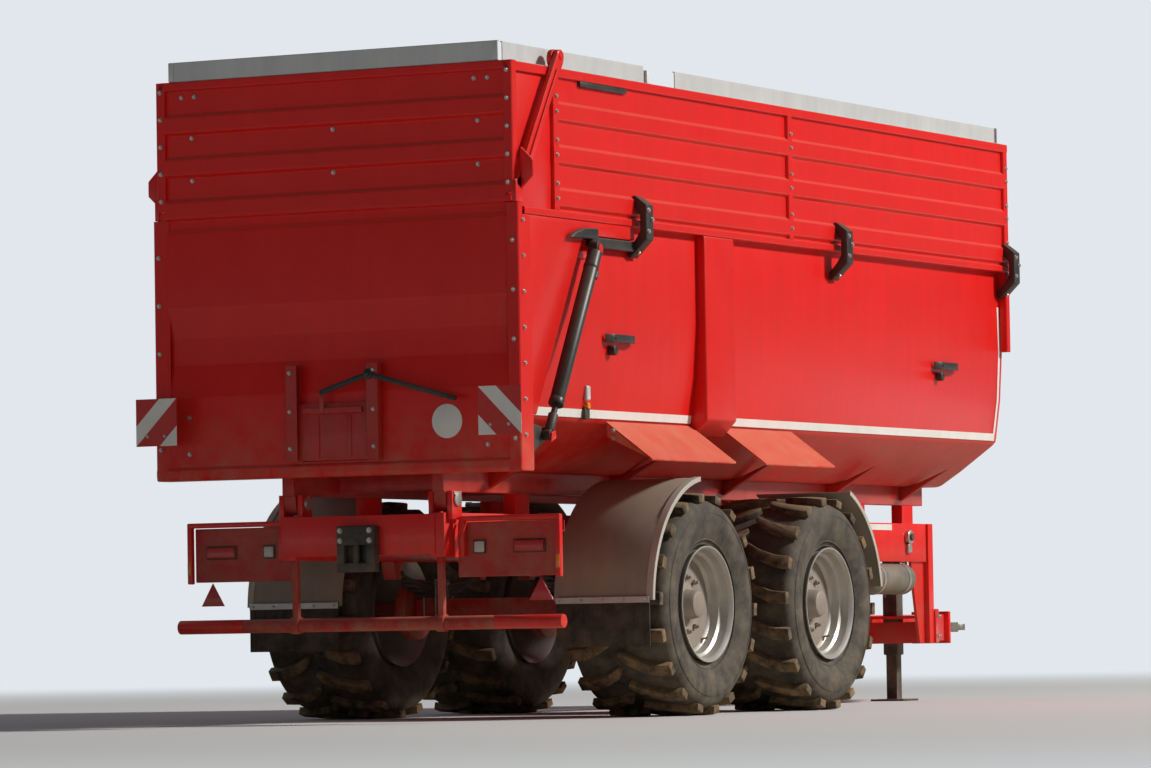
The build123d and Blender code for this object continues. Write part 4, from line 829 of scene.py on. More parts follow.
# %% [markdown]
# ## Bolt rows on the posts
# The posts are bolted through the sheet in pairs. A bolt is a hexagon on a washer; one is modelled
# and its copies are set out from a short table of posts.

# %% Post bolts
POST_HEIGHTS = (3.10, 3.19, 3.36, 3.45, 3.62, 3.71)
places = []
for x in (0.600, 3.845, 7.345):
    places += [(x, -1.200, z) for z in POST_HEIGHTS]
post_bolts = repeat("post_bolts", bolt_head((0, -1, 0), 0.011), places)
dress_pair("post_bolts", [post_bolts], "bed", "bare_steel", zinc)
print("post bolts a side:", len(places))

# %% [markdown]
# ## Hooks, marker lamp and guide box
# Small fittings break up the long side: for the tarpaulin's cord a flat black catch with a round knob
# under it, a marker lamp on the white line, a black guide box under the top rail and a short white post
# in the strips' gap. The catch is bent strip, so it is a folded sheet; the rest are boxes and bars.

# %% Side fittings
hook_parts = []
for x in (1.47, 6.35):
    rear_end = x - 0.18
    catch_line = [(rear_end, -1.150), (x - 0.13, -1.182), (x + 0.14, -1.182), (x + 0.20, -1.150)]
    catch = sheet([(along, y, 2.272) for along, y in catch_line], (0, 0, 0.050), 0.010, 0.012,
                  soft=(0.003, 2))
    knob = bar((x - 0.09, -1.130, 2.225), (x - 0.09, -1.176, 2.225), 0.030, soft=(0.006, 3))
    rivet = bar((rear_end + 0.07, -1.180, 2.297), (rear_end + 0.07, -1.193, 2.297), 0.011, 16,
                soft=(0.003, 2))
    hook_parts += [catch, knob, rivet]
hook_parts.append(box((0.92, -1.1775, 3.790), (1.53, -1.1995, 3.822), soft=(0.004, 2)))
hook_parts.append(box((1.085, -1.088, 1.800), (1.147, -1.110, 1.868), soft=(0.005, 2)))
dress_pair("side_fittings", hook_parts, "bed", "black_steel", black_steel)
amber = bar((1.116, -1.088, 1.884), (1.116, -1.122, 1.884), 0.021, 32, soft=(0.004, 3))
pale = box((1.090, -1.096, 1.915), (1.142, -1.122, 2.005), soft=(0.01, 4))
dress_pair("side_lamp_amber", [amber], "bed", "lamp_lens", lamp_amber)
dress_pair("side_lamp_pale", [pale], "bed", "lamp_lens", lamp_white)
post = box((1.945, -1.105, 3.884), (1.975, -1.130, 3.975), soft=(0.004, 2))
dress_pair("gap_post", [post], "bed", "grey_trim", white_paint)
print("side fittings:", len(hook_parts))

# %% [markdown]
# ## Wheel deflectors
# Sloping plates above the wheels throw off mud and stones. Each is a flat sheet with a folded lower
# edge that leaves the knee of the body, and a triangle closes its rear end.

# %% Deflectors
slope = [(1.0815, 1.796), (1.3935, 1.5615), (1.389, 1.553)]
runs = []
for start, end in ((1.402, 2.561), (2.989, 4.018)):
    runs.append(sheet([(start, -y, z) for y, z in slope], (end - start, 0, 0), 0.006, 0.004,
                      soft=(0.0015, 1)))
runs.append(prism([(1.403, -y, z) for y, z in ((1.086, 1.785), (1.378, 1.566), (1.092, 1.700))],
                  (0.008, 0, 0), soft=(0.002, 1)))
dress_pair("deflectors", runs, "bed", "body_paint", dusty_red, "wheel_deflectors")
cap_bolts = repeat("cap_bolts", bolt_head((-1, 0, 0), 0.012), [(1.4025, -1.135, z) for z in (1.695, 1.740)])
dress_pair("cap_bolts", [cap_bolts], "bed", "bare_steel", zinc)
print("deflector runs:", len(runs))

# %% [markdown]
# ## Tyres
# These are wide, low-pressure tyres: a round-shouldered casing with bars that run in from each
# shoulder and meet in the middle like a zip. The casing is a turned part, spun from its section.
# A bar could be fused on as a straight block, but it would stand off the casing at its ends, so
# each bar is shaped flat, as cut from a strip of rubber, and then rolled around the tread.

# %% Tyre casing and bars
WHEELS = ("rear_right", "front_right", "rear_left", "front_left")
TREAD_RADIUS = 0.645
BAR_COUNT = 18
SECTION = [(0.345, 0.272), (0.362, 0.290), (0.385, 0.303), (0.410, 0.318), (0.440, 0.333), (0.480, 0.345),
           (0.520, 0.350), (0.560, 0.347), (0.595, 0.336), (0.622, 0.318), (0.637, 0.290), (0.643, 0.24),
           (0.645, 0.12), (0.645, 0.0)]


def roll_up(piece, radius):
    """Rolls a flat strip, lying along X with its foot at Z = 0, around the wheel's axis."""
    for point in piece.data.vertices:
        turn = point.co.x / radius
        reach = radius + point.co.z
        point.co = (math.sin(turn) * reach, point.co.y, math.cos(turn) * reach)
    return piece


def tread_bar():
    """One bar of the left half: across the shoulder, then slanting forward to the middle."""
    outline = [(-0.004, 0.334), (0.072, 0.334), (0.080, 0.235), (0.118, 0.120), (0.172, 0.020),
               (0.150, 0.002), (0.098, 0.030), (0.048, 0.115), (0.006, 0.225)]
    piece = prism([(x, y, -0.016) for x, y in outline], (0, 0, 0.054))
    start_edit()
    bpy.ops.mesh.select_all(action="DESELECT")
    bpy.ops.object.mode_set(mode="OBJECT")
    for face in piece.data.polygons:
        face.select = face.normal.z > 0.9
    bpy.ops.object.mode_set(mode="EDIT")
    bpy.ops.mesh.inset(thickness=0.007, depth=0)
    bpy.ops.transform.translate(value=(0, 0, 0.003))
    bpy.ops.object.mode_set(mode="OBJECT")
    soften(piece, 0.004, 2, 40)
    for point in piece.data.vertices:
        past = max(0.0, point.co.y - 0.27)
        point.co.z -= past * past * 2.2 if point.co.z > 0 else 0.0
    return roll_up(piece, TREAD_RADIUS)


casing_line = [(0, -y, r) for r, y in SECTION[:-1]] + [(0, y, r) for r, y in SECTION[::-1]]
inner_line = [(0, 0.262, 0.345), (0, 0.262, 0.36), (0, -0.262, 0.36), (0, -0.262, 0.345)]
casing = smooth(turned(casing_line + inner_line, steps=96), 50)
ring_ribs = [turned([(0, y - 0.0025, r - 0.004), (0, y, r + 0.0035), (0, y + 0.0025, r - 0.004)],
                    steps=96) for r, y in ((0.372, -0.298), (0.40, -0.3145), (0.565, -0.3470))]
seed = tread_bar()
bars = []
for index in range(BAR_COUNT):
    turn = math.tau * index / BAR_COUNT
    bars.append(copy_at(seed, Matrix.Rotation(turn, 4, "Y")))
    bars.append(copy_at(seed, Matrix.Rotation(turn + math.pi / BAR_COUNT, 4, "Y") @ MIRROR))
discard(seed)
bars = join("bars", bars)
casing = join("casing", [casing] + ring_ribs)
print("tyre:", len(casing.data.polygons), "casing faces,", len(bars.data.polygons), "bar faces")

# %% [markdown]
# ## Rims
# The rim is a pressed steel dish: a rolled flange that shines and two steps down to the well. The flat
# disc that closes it, with ten nuts round the hub, is a piece of its own, as more dust lies on it. A
# rim is turned in real life too, so both are spun, and one nut and its stud go round a circle.

# %% Rim, nuts and valve
RIM_SECTION = [(0.3375, -0.262), (0.340, -0.300), (0.352, -0.309), (0.3585, -0.320), (0.3575, -0.327),
               (0.350, -0.327), (0.340, -0.316), (0.332, -0.302), (0.329, -0.270), (0.324, -0.258),
               (0.306, -0.246), (0.303, -0.236), (0.303, -0.212), (0.298, -0.200), (0.288, -0.192),
               (0.281, -0.182), (0.281, -0.150), (0.290, -0.140), (0.290, 0.18), (0.318, 0.26),
               (0.336, 0.30), (0.357, 0.325), (0.350, 0.300), (0.3375, 0.262), (0.3375, -0.262)]
NUT_CIRCLE = 0.1675
NUT_COUNT = 10
DISC_SECTION = [(0.283, -0.178), (0.276, -0.184), (0.20, -0.176), (0.165, -0.178), (0.150, -0.172),
                (0.0, -0.172), (0.0, -0.150), (0.15, -0.150), (0.276, -0.162), (0.283, -0.160),
                (0.283, -0.178)]
rim = smooth(turned([(0, y, r) for r, y in RIM_SECTION], steps=96), 24)
disc = turned([(0, y, r) for r, y in DISC_SECTION], steps=96, soft=(0.002, 2))
hub = turned([(0, -0.170, 0.14), (0, -0.178, 0.135), (0, -0.182, 0.095), (0, -0.235, 0.088),
              (0, -0.262, 0.080), (0, -0.268, 0.060), (0, -0.268, 0.0)], steps=48, soft=(0.003, 2))
nut = bar((0, -0.176, NUT_CIRCLE), (0, -0.198, NUT_CIRCLE), 0.017, 6, soft=(0.002, 2))
stud = bar((0, -0.190, NUT_CIRCLE), (0, -0.214, NUT_CIRCLE), 0.0095, 14, soft=(0.0015, 1))
turns = [Matrix.Rotation(math.tau * index / NUT_COUNT, 4, "Y") for index in range(NUT_COUNT)]
nuts = [copy_at(part, turn) for turn in turns for part in (nut, stud)]
discard(nut, stud)
valve = bar((0.19, -0.180, -0.215), (0.185, -0.235, -0.205), 0.006, 12, soft=(0.0015, 1))
hand_hole = turned([(0, -0.1775, 0.012), (0, -0.1815, 0.015), (0, -0.1775, 0.018)], steps=24)
hole_ring = repeat("hole_ring", hand_hole, [(-0.07, 0, -0.22)])
disc = join("disc", [disc, hub] + nuts + [valve, hole_ring])
WHEEL_PARTS = ((casing, "casing_", "tyre_rubber", tyre_side, "tyre_"),
               (bars, "tread_", "tyre_rubber", tyre_lug, ""),
               (rim, "dished_rim_", "rim_silver", rim_silver, "rim_"),
               (disc, "wheel_disc_", "rim_silver", rim_dust, ""))
for wheel in WHEELS:
    place = Matrix.Translation(sum(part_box("tyre_" + wheel), Vector()) / 2)
    if wheel.endswith("left"):
        place = place @ MIRROR
    for seed, name, slot, material, node in WHEEL_PARTS:
        replaced = (node + wheel,) if node else ()
        wear(copy_at(seed, place, name + wheel), "wheel_" + wheel, slot, material, *replaced)
discard(casing, bars, rim, disc)
print("wheels dressed:", len(WHEELS))

# %% [markdown]
# ## The grain chute
# A small sliding gate lets grain run out in the middle of the tailgate. Its guides are channels with
# pale worn edges, open towards each other, and the gate is a flat plate with a lip to pull on. The
# channels are one folded line extruded upwards, so the gap that the gate runs in is really there.

# %% Chute guides and gate
guide_line = [(-0.042, 0.238), (-0.042, 0.311), (0.008, 0.311), (0.008, 0.240)]
guide = sheet([(x, y, 1.562) for x, y in guide_line], (0, 0, 0.574), 0.007, 0.004, soft=(0.0015, 1))
guide_bolt = bolt_head((-1, 0, 0), 0.010)
guide_bolts = repeat("guide_bolts", guide_bolt, [(-0.0455, 0.285, z) for z in (1.64, 1.86, 2.09)])
dress_pair("chute_channels", [guide], "tailgate", "body_paint", chassis_red, "chute_guides")
dress_pair("guide_bolts", [guide_bolts], "tailgate", "bare_steel", zinc)
gate_plate = box((-0.0195, -0.2555, 1.566), (-0.0105, 0.2555, 1.904), soft=(0.002, 2))
pull_lip = sheet([(-0.021, -0.2, 1.843), (-0.0365, -0.2, 1.847), (-0.0365, -0.2, 1.877),
                  (-0.021, -0.2, 1.877)], (0, 0.4, 0), 0.004, 0.004)
ribs = [box((-0.026, y - 0.012, 1.58), (-0.019, y + 0.012, 1.83), soft=(0.002, 2)) for y in (-0.11, 0.11)]
link = box((-0.0455, 0.054, 1.850), (-0.0375, 0.082, 1.985), soft=(0.003, 2))
dress(join("chute_plate", [gate_plate, pull_lip, link] + ribs), "chute_gate", "body_paint", chassis_red,
      "chute_gate")
print("chute plate ribs:", len(ribs))

# %% [markdown]
# ## The chute's lever
# A long black lever turns on a pin at the top of the right channel. Pulled down, its short arm lifts
# the gate. Both arms are flat bar, so each is a plate set between two points.

# %% Lever
LEVER_PIN = (-0.257, 2.068)


def lever_bar(start, end, width, x_low, x_high):
    """A flat bar across the tailgate, between two Y, Z points."""
    start, end = Vector((0, *start)), Vector((0, *end))
    along = (end - start).normalized() * width * 0.3
    across = Vector((0, -along.z, along.y)).normalized() * width / 2
    corners = [start - along + across * 0.7, start + across, end + across, end + along + across * 0.5,
               end + along - across * 0.5, end - across, start - across, start - along - across * 0.7]
    return prism([(x_low, p.y, p.z) for p in corners], (x_high - x_low, 0, 0), soft=(0.002, 2))


handle = lever_bar(LEVER_PIN, (-0.840, 1.905), 0.030, -0.0585, -0.0475)
short_arm = lever_bar(LEVER_PIN, (0.066, 1.968), 0.030, -0.0585, -0.0475)
lever_hub = bar((-0.0635, *LEVER_PIN), (-0.0465, *LEVER_PIN), 0.031, 32, soft=(0.002, 2))
lever_nut = bar((-0.075, *LEVER_PIN), (-0.062, *LEVER_PIN), 0.017, 6, soft=(0.002, 2))
link_pin = bar((-0.064, 0.068, 1.968), (-0.047, 0.068, 1.968), 0.009, 20, soft=(0.002, 2))
grip = bar((-0.053, -0.800, 1.9165), (-0.053, -0.848, 1.9028), 0.013, soft=(0.005, 3))
lever_parts = [handle, short_arm, lever_hub, lever_nut, link_pin, grip]
dress(join("gate_lever", lever_parts), "chute_lever", "black_steel", black_steel, "chute_lever")
print("lever parts:", len(lever_parts))

# %% [markdown]
# ## Boards and the blank disc
# The striped boards stand out beyond the tailgate's edges on short angle brackets. Each board is a
# thin sheet with rounded corners. The small round plate carries no figures, so it stays blank.

# %% Marker boards and disc
BOARD_MIDDLE = (1.172, 1.823)
BOARD_HALF = 0.1425
for side, name, replaced in ((-1, "right", ["marker_boards"]), (1, "left", [])):
    y, z = side * BOARD_MIDDLE[0], BOARD_MIDDLE[1]
    board = box((-0.1195, y - BOARD_HALF, z - BOARD_HALF), (-0.1165, y + BOARD_HALF, z + BOARD_HALF),
                name="board_" + name)
    bevel(board, 0.012, 5, 60)
    dress(board, "tailgate", "board_sheet", banded("band_" + name, side, z + side * y), *replaced)
stay = sheet([(-0.1155, -1.210, 1.700), (-0.1155, -1.210, 1.767), (-0.001, -1.210, 1.767)], (0, 0.076, 0),
             0.004, 0.004)
stay_bolts = repeat("stay_bolts", bolt_head((-1, 0, 0), 0.008),
                    [(-0.1195, -1.172 + dy, 1.74) for dy in (-0.06, 0.06)])
dress_pair("board_stays", [stay], "tailgate", "black_steel", black_steel)
dress_pair("stay_bolts", [stay_bolts], "tailgate", "bare_steel", zinc)
disc = bar((0.0105, -0.75, 1.775), (0.0145, -0.75, 1.775), 0.101, 64, name="blank_disc", soft=(0.0012, 2))
dress(disc, "tailgate", "board_sheet", sign_white, "speed_disc")
print("board:", 2 * BOARD_HALF, "m square")

# %% [markdown]
# ## Bolts on the tailgate
# Rows of bright bolts run up the edge posts and across the panel, where the frame behind is fixed.
# They are one bolt repeated from a table of rows: first height, spacing, count, side place and depth.

# %% Tailgate bolts
GATE_BOLT_ROWS = ((1.66, 0.29, 5, 1.212, -0.0005), (3.16, 0.165, 5, 1.188, -0.0005),
                  (1.63, 0.22, 2, 1.02, 0.0155), (3.278, 0.257, 2, 0.98, 0.0215),
                  (3.785, 0.0, 1, 1.05, 0.0215), (3.785, 0.0, 1, 0.96, 0.0215))
places = []
for first, step, count, y, x in GATE_BOLT_ROWS:
    places += [(x, -y, first + step * index) for index in range(count)]
gate_bolts = repeat("gate_bolts", bolt_head((-1, 0, 0), 0.011), places)
side_places = [(0.055, -1.250, 1.68 + 0.21 * index) for index in range(7)]
side_bolts = repeat("side_bolts", bolt_head((0, -1, 0), 0.011), side_places)
gate_bolts = join("gate_bolts", [gate_bolts, side_bolts])
dress_pair("gate_bolts", [gate_bolts], "tailgate", "bare_steel", zinc)
middle_places = [(0.0215, 0, z) for z in (3.278, 3.535)]
middle_bolts = repeat("middle_bolts", bolt_head((-1, 0, 0), 0.011), middle_places)
dress(middle_bolts, "tailgate", "bare_steel", zinc)
print("tailgate bolts:", 2 * (len(places) + 1))

# %% [markdown]
# ## Lug plates
# Each tailgate cylinder ends at a plate that reaches forward from the tailgate's corner post.

# %% Lug plates
lug_line = [(0.161, 1.562), (0.161, 1.758), (0.372, 1.727), (0.383, 1.668), (0.334, 1.639)]
lug = prism(across_y(-1.2150, lug_line), (0, 0.0140, 0), soft=(0.003, 2))
dress_pair("lug_plates", [lug], "tailgate", "black_steel", black_steel, "tailgate_lugs")
print("lug plate corners:", len(lug_line))

# %% [markdown]
# ## Light boards and their guards
# Under the body's rear corners hang two red sheets with the lamps: a long red one outside and a
# square clear one inside. The sheets get the darker chassis red as painted shade. A bright red bar
# bent over each board takes the knocks. The sheets have their edges turned forward for stiffness,
# so each is a folded line that is extruded.

# %% Light boards
light_sheet = sheet([(0.468, -1.247, 0.864), (0.443, -1.247, 0.864), (0.443, -1.247, 1.186),
                     (0.468, -1.247, 1.186)], (0, 0.669, 0), 0.005, 0.005)
light_arm = sheet([(0.471, -1.247, 1.122), (0.529, -1.247, 1.122), (0.529, -1.247, 1.187)], (0, 0.685, 0),
                  0.005, 0.005)
# The darker chassis red on the lamp sheets is painted shade.
dress_pair("lamp_sheets", [light_sheet, light_arm], "chassis", "chassis_paint", chassis_red, "light_boards")
guard_top = box((0.397, -1.283, 1.192), (0.438, -0.602, 1.223), soft=(0.007, 3))
outer_leg = box((0.397, -1.283, 0.852), (0.438, -1.252, 1.200), soft=(0.007, 3))
inner_leg = box((0.397, -0.639, 0.982), (0.438, -0.602, 1.200), soft=(0.007, 3))
dress_pair("guards", [guard_top, outer_leg, inner_leg], "chassis", "chassis_paint", bright_red,
           "light_guards")
red_lens = box((0.4165, -1.158, 1.007), (0.4385, -0.962, 1.073), soft=(0.008, 3))
lens_rim = box((0.4285, -1.166, 0.999), (0.4405, -0.954, 1.081), soft=(0.004, 2))
clear_lens = box((0.4215, -0.758, 1.007), (0.4385, -0.692, 1.073), soft=(0.008, 3))
clear_rim = box((0.4295, -0.766, 0.999), (0.4405, -0.684, 1.081), soft=(0.004, 2))
dress_pair("red_lamps", [red_lens], "chassis", "lamp_lens", lamp_red, "rear_lamps")
dress_pair("clear_lamps", [clear_lens], "chassis", "lamp_lens", lamp_white)
dress_pair("lamp_rims", [lens_rim, clear_rim], "chassis", "black_steel", black_steel)
amber_strip = box((0.3925, -1.279, 0.905), (0.3975, -1.256, 0.985), soft=(0.002, 2))
dress_pair("amber_strips", [amber_strip], "chassis", "lamp_lens", lamp_amber)
triangle = [(-1.212, 0.716), (-1.048, 0.716), (-1.130, 0.858)]
reflector = prism(along_x(0.4415, triangle), (0.006, 0, 0), soft=(0.002, 2))
dress_pair("triangle_reflectors", [reflector], "chassis", "lamp_lens", lamp_red, "rear_reflectors")
print("rear lamps done:", len(PIECES))

# %% [markdown]
# ## Rear coupling and bumper
# A small trailer can be hitched behind: a black block bolted to a plate across the chassis. Below it
# hangs the round bumper bar on two straps, its ends bright red and its middle grey with dust.

# %% Coupling and bumper
block_low = box((0.210, -0.128, 0.902), (0.287, 0.128, 0.958), soft=(0.008, 3))
block_high = box((0.210, -0.128, 1.062), (0.287, 0.128, 1.178), soft=(0.008, 3))
block_back = box((0.258, -0.128, 0.950), (0.287, 0.128, 1.070), soft=(0.008, 3))
cheeks = [box((0.210, y - 0.026, 0.950), (0.262, y + 0.026, 1.070), soft=(0.008, 3)) for y in (-0.101, 0.101)]
tow_pin = bar((0.232, 0, 0.905), (0.232, 0, 1.176), 0.022, 28)
dress(join("tow_block", [block_low, block_high, block_back, tow_pin] + cheeks), "chassis", "black_steel",
      black_steel, "rear_coupling")
plate_bolts = repeat("plate_bolts", bolt_head((-1, 0, 0), 0.014),
                     [(0.2095, y, z) for y in (-0.1, 0.1) for z in (1.09, 1.15)])
dress(plate_bolts, "chassis", "bare_steel", zinc)
bumper_bar = bar((0.37, -1.318, 0.59), (0.37, 1.318, 0.59), 0.0415, 40, soft=(0.004, 2))
straps = []
for y in (-0.5, 0.5):
    strap = box((0.351, y - 0.019, 0.62), (0.389, y + 0.019, 0.979), soft=(0.003, 2))
    clamp = turned([(0, -0.030, 0.042), (0, -0.030, 0.051), (0, 0.030, 0.051), (0, 0.030, 0.042),
                    (0, -0.030, 0.042)], (0.37, y, 0.59), (0, 1, 0), 40, soft=(0.002, 2))
    straps += [strap, clamp]
dress(join("bumper", [bumper_bar] + straps), "chassis", "chassis_paint", chassis_red, "underride_bumper")
sleeves = []
for side in (-1, 1):
    sleeves.append(bar((0.37, side * 0.86, 0.59), (0.37, side * 1.3185, 0.59), 0.0419, 40, soft=(0.004, 2)))
dress(join("bumper_ends", sleeves), "chassis", "chassis_paint", bright_red)
print("bumper straps:", len(straps) // 2)

# %% [markdown]
# ## Fenders
# The fenders are wide strips of grey sheet rolled to an arc around the wheel, with a paler edge strip
# turned over on the outside. A ring could be cut to the arc, but it is quicker to draw the arc as a
# line of short steps and to extrude it sideways, the way a roller bends the sheet.

# %% Fender arcs
REAR_WHEEL_X, FRONT_WHEEL_X = 2.120, 3.890
AXLE_Z = 0.683
FENDER_REACH = 0.785
ARC_STEPS = 20


def arc(x, radius, start, end, y):
    """Points of an arc around a wheel's centre, in degrees from straight ahead."""
    turns = [math.radians(start + (end - start) * index / ARC_STEPS) for index in range(ARC_STEPS + 1)]
    return [(x + radius * math.cos(t), y, AXLE_Z + radius * math.sin(t)) for t in turns]


def fender_pieces(x, start, end, stay_turn):
    plate = sheet(arc(x, FENDER_REACH - 0.007, start, end, -1.417), (0, 0.674, 0), 0.010, soft=(0.002, 2))
    lip = prism(arc(x, FENDER_REACH, start, end, -1.419) + arc(x, FENDER_REACH - 0.026, end, start, -1.419),
                (0, 0.006, 0), soft=(0.0015, 1))
    band = sheet(arc(x, FENDER_REACH + 0.001, start, end, -1.419), (0, 0.046, 0), 0.005, soft=(0.0015, 1))
    turn = math.radians(stay_turn)
    stay_x, stay_z = x + 0.757 * math.cos(turn), AXLE_Z + 0.757 * math.sin(turn)
    tube = bar((stay_x, -1.30, stay_z), (stay_x, -0.561, stay_z), 0.018, soft=(0.003, 2))
    foot = bar((stay_x, -0.572, stay_z), (stay_x, -0.561, stay_z), 0.045, soft=(0.003, 2))
    return [plate], [lip, band], [tube, foot]


plates, bands, stays = [], [], []
for x, start, end, stay_turn in ((REAR_WHEEL_X, 98, 178, 140), (FRONT_WHEEL_X, 8, 67, 40)):
    plate, edge, stay = fender_pieces(x, start, end, stay_turn)
    plates += plate
    bands += edge
    stays += stay
dress_pair("fender_plates", plates, "chassis", "fender_sheet", fender_grey, "rear_fenders", "front_fenders")
dress_pair("fender_bands", bands, "chassis", "fender_sheet", fender_edge)
dress_pair("fender_stays", stays, "chassis", "black_steel", black_steel)
print("fender arcs a side:", len(plates))

# %% [markdown]
# ## Mud flaps
# Thick rubber sheets hang behind the rear wheels, clamped under a bright strip with a row of bolts.
# Vertical ridges keep the rubber straight. They are thin bars set on one sheet.

# %% Flaps
FLAP_X = REAR_WHEEL_X - FENDER_REACH
flap = box((FLAP_X - 0.0095, -1.398, 0.432), (FLAP_X - 0.0005, -0.762, 0.733), soft=(0.003, 2))
ridges = []
for index in range(9):
    y = -1.36 + index * 0.07
    ridges.append(box((FLAP_X - 0.0125, y - 0.006, 0.445), (FLAP_X - 0.008, y + 0.006, 0.690),
                      soft=(0.002, 1)))
dress_pair("rubber_flaps", [flap] + ridges, "chassis", "flap_rubber", flap_black, "mud_flaps")
strip = box((FLAP_X - 0.0145, -1.398, 0.695), (FLAP_X - 0.0085, -0.762, 0.733), soft=(0.0015, 1))
strip_bolts = repeat("strip_bolts", bolt_head((-1, 0, 0), 0.008),
                     [(FLAP_X - 0.0145, -1.37 + i * 0.145, 0.714) for i in range(5)])
dress_pair("flap_strips", [strip, strip_bolts], "chassis", "bare_steel", zinc)
print("flap ridges:", len(ridges))

# %% [markdown]
# ## Air tanks
# Two steel tanks with domed ends lie along the frame, each in two bright bands. A tank is turned: its
# section is drawn from one pole to the other and spun about the long axis.

# %% Tanks and bands
tank_line = [(-0.354, 0.0), (-0.352, 0.030), (-0.345, 0.062), (-0.330, 0.088), (-0.308, 0.103),
             (-0.285, 0.1075), (0.285, 0.1075), (0.308, 0.103), (0.330, 0.088), (0.345, 0.062),
             (0.352, 0.030), (0.354, 0.0)]
tank_centre = (6.690, -0.510, 0.860)
tank = turned(across_y(0, tank_line), tank_centre, (1, 0, 0), 48)
smooth(tank, 35)
seams = [turned([(x - 0.004, 0, 0.106), (x, 0, 0.1095), (x + 0.004, 0, 0.106)], tank_centre, (1, 0, 0),
                48) for x in (-0.28, 0.28)]
drain = bar((tank_centre[0], tank_centre[1], 0.735), (tank_centre[0], tank_centre[1], 0.757), 0.012, 6)
dress_pair("domed_tanks", [tank, drain] + seams, "chassis", "tank_grey", tank_grey, "air_tanks")
bands = []
for x in (-0.210, 0.210):
    ring = turned([(x - 0.016, 0, 0.1078), (x - 0.016, 0, 0.1110), (x + 0.016, 0, 0.1110),
                   (x + 0.016, 0, 0.1078), (x - 0.016, 0, 0.1078)], tank_centre, (1, 0, 0), 48)
    hanger = box((tank_centre[0] + x - 0.016, -0.548, 0.915), (tank_centre[0] + x + 0.016, -0.472, 0.979),
                 soft=(0.003, 2))
    bands += [ring, hanger]
dress_pair("tank_bands", bands, "chassis", "bare_steel", zinc)
print("tank bands a side:", len(bands) // 2)

# %% [markdown]
# ## Leaf springs
# Each wheel hangs on a pack of curved leaves, every leaf shorter than the one above it. The leaves are
# held on the axle by two U-bolts between thick plates. One pack is made leaf by leaf from a table of
# half lengths, and copied to the four wheels.

# %% Leaf packs
LEAF_HALVES = (0.515, 0.450, 0.370, 0.290, 0.210)


def leaf_height(distance, index):
    return 0.825 - 0.0155 * index + 0.083 * (distance / 0.52) ** 2


pack = []
for index, half_length in enumerate(LEAF_HALVES):
    steps = [half_length * (k / 6 - 1) for k in range(13)]
    line = [(step, -0.553, leaf_height(abs(step), index)) for step in steps]
    pack.append(sheet(line, (0, 0.086, 0), 0.0125, soft=(0.002, 1)))
for end in (-1, 1):
    pack.append(bar((end * 0.500, -0.554, 0.905), (end * 0.500, -0.466, 0.905), 0.022, soft=(0.004, 2)))
spring_pack = join("spring_pack", pack)
saddle = box((-0.095, -0.562, 0.838), (0.095, -0.458, 0.856), soft=(0.005, 2))
keeper = box((-0.095, -0.562, 0.597), (0.095, -0.458, 0.616), soft=(0.005, 2))
clamp_parts = [saddle, keeper]
for x in (-0.075, 0.075):
    for y in (-0.552, -0.468):
        rod = bar((x, y, 0.572), (x, y, 0.872), 0.0085, 16)
        nut = bar((x, y, 0.582), (x, y, 0.597), 0.015, 6, soft=(0.0015, 1))
        clamp_parts += [rod, nut]
clamp_pack = join("clamp_pack", clamp_parts)
axle_places = [(x, 0, 0) for x in (REAR_WHEEL_X, FRONT_WHEEL_X)]
packs = repeat("packs", spring_pack, axle_places)
clamps = repeat("clamps", clamp_pack, axle_places)
dress_pair("leaf_packs", [packs], "chassis", "black_steel", black_steel, "leaf_springs")
dress_pair("spring_clamps", [clamps], "chassis", "bare_steel", bare_steel)
print("leaves:", 4 * len(LEAF_HALVES))

# %% [markdown]
# ## Welded frames, taken over and rounded
# The frames, brackets and pins already have their true shape in the CAD frame, but a milled sharp
# edge never catches the light as a sawn and welded one does. So each is copied, its loose triangles
# are merged back to whole faces, and its edges are rounded. The CAD nodes stay as they are.

# %% Rounded copies
def crisp(name, node_name, body, slot, material, width):
    """A rounded copy of one CAD node, dressed on the same body."""
    activate(NODES[node_name])
    bpy.ops.object.duplicate(linked=False)
    piece = bpy.context.object
    bpy.ops.object.parent_clear(type="CLEAR_KEEP_TRANSFORM")
    piece.name = name
    for key in list(piece.keys()):
        del piece[key]
    start_edit()
    bpy.ops.mesh.remove_doubles(threshold=1e-5)
    bpy.ops.mesh.dissolve_limited(angle_limit=math.radians(1))
    bpy.ops.object.mode_set(mode="OBJECT")
    return wear(soften(piece, width, 2, 40), body, slot, material, node_name)


ROUNDED = (("welded_frame", "chassis_frame", "chassis", "chassis_paint", bright_red, 0.006),
           ("welded_drawbar", "drawbar", "chassis", "chassis_paint", bright_red, 0.006),
           ("tow_eye", "hitch_eye", "chassis", "bare_steel", bare_steel, 0.005),
           ("jack_leg", "support_jack", "chassis", "black_steel", black_steel, 0.005),
           ("rear_beam", "axle_rear", "chassis", "black_steel", chassis_red, 0.008),
           ("front_beam", "axle_front", "chassis", "black_steel", chassis_red, 0.008),
           ("hanger_plates", "spring_hangers", "chassis", "chassis_paint", chassis_red, 0.005),
           ("sub_frame", "bed_sub_frame", "bed", "body_paint", chassis_red, 0.005),
           ("floor_arms", "bed_outriggers", "bed", "body_paint", chassis_red, 0.004))
for row in ROUNDED:
    crisp(*row)
print("rounded copies:", len(ROUNDED))

# %% [markdown]
# ## Front details
# Ahead of the wheels the frame's side is bright red with a white strip, and the foot plates of the
# drawbar are bolted on. A valve on each side, a head on each pivot pin and a crank on the jack finish it.

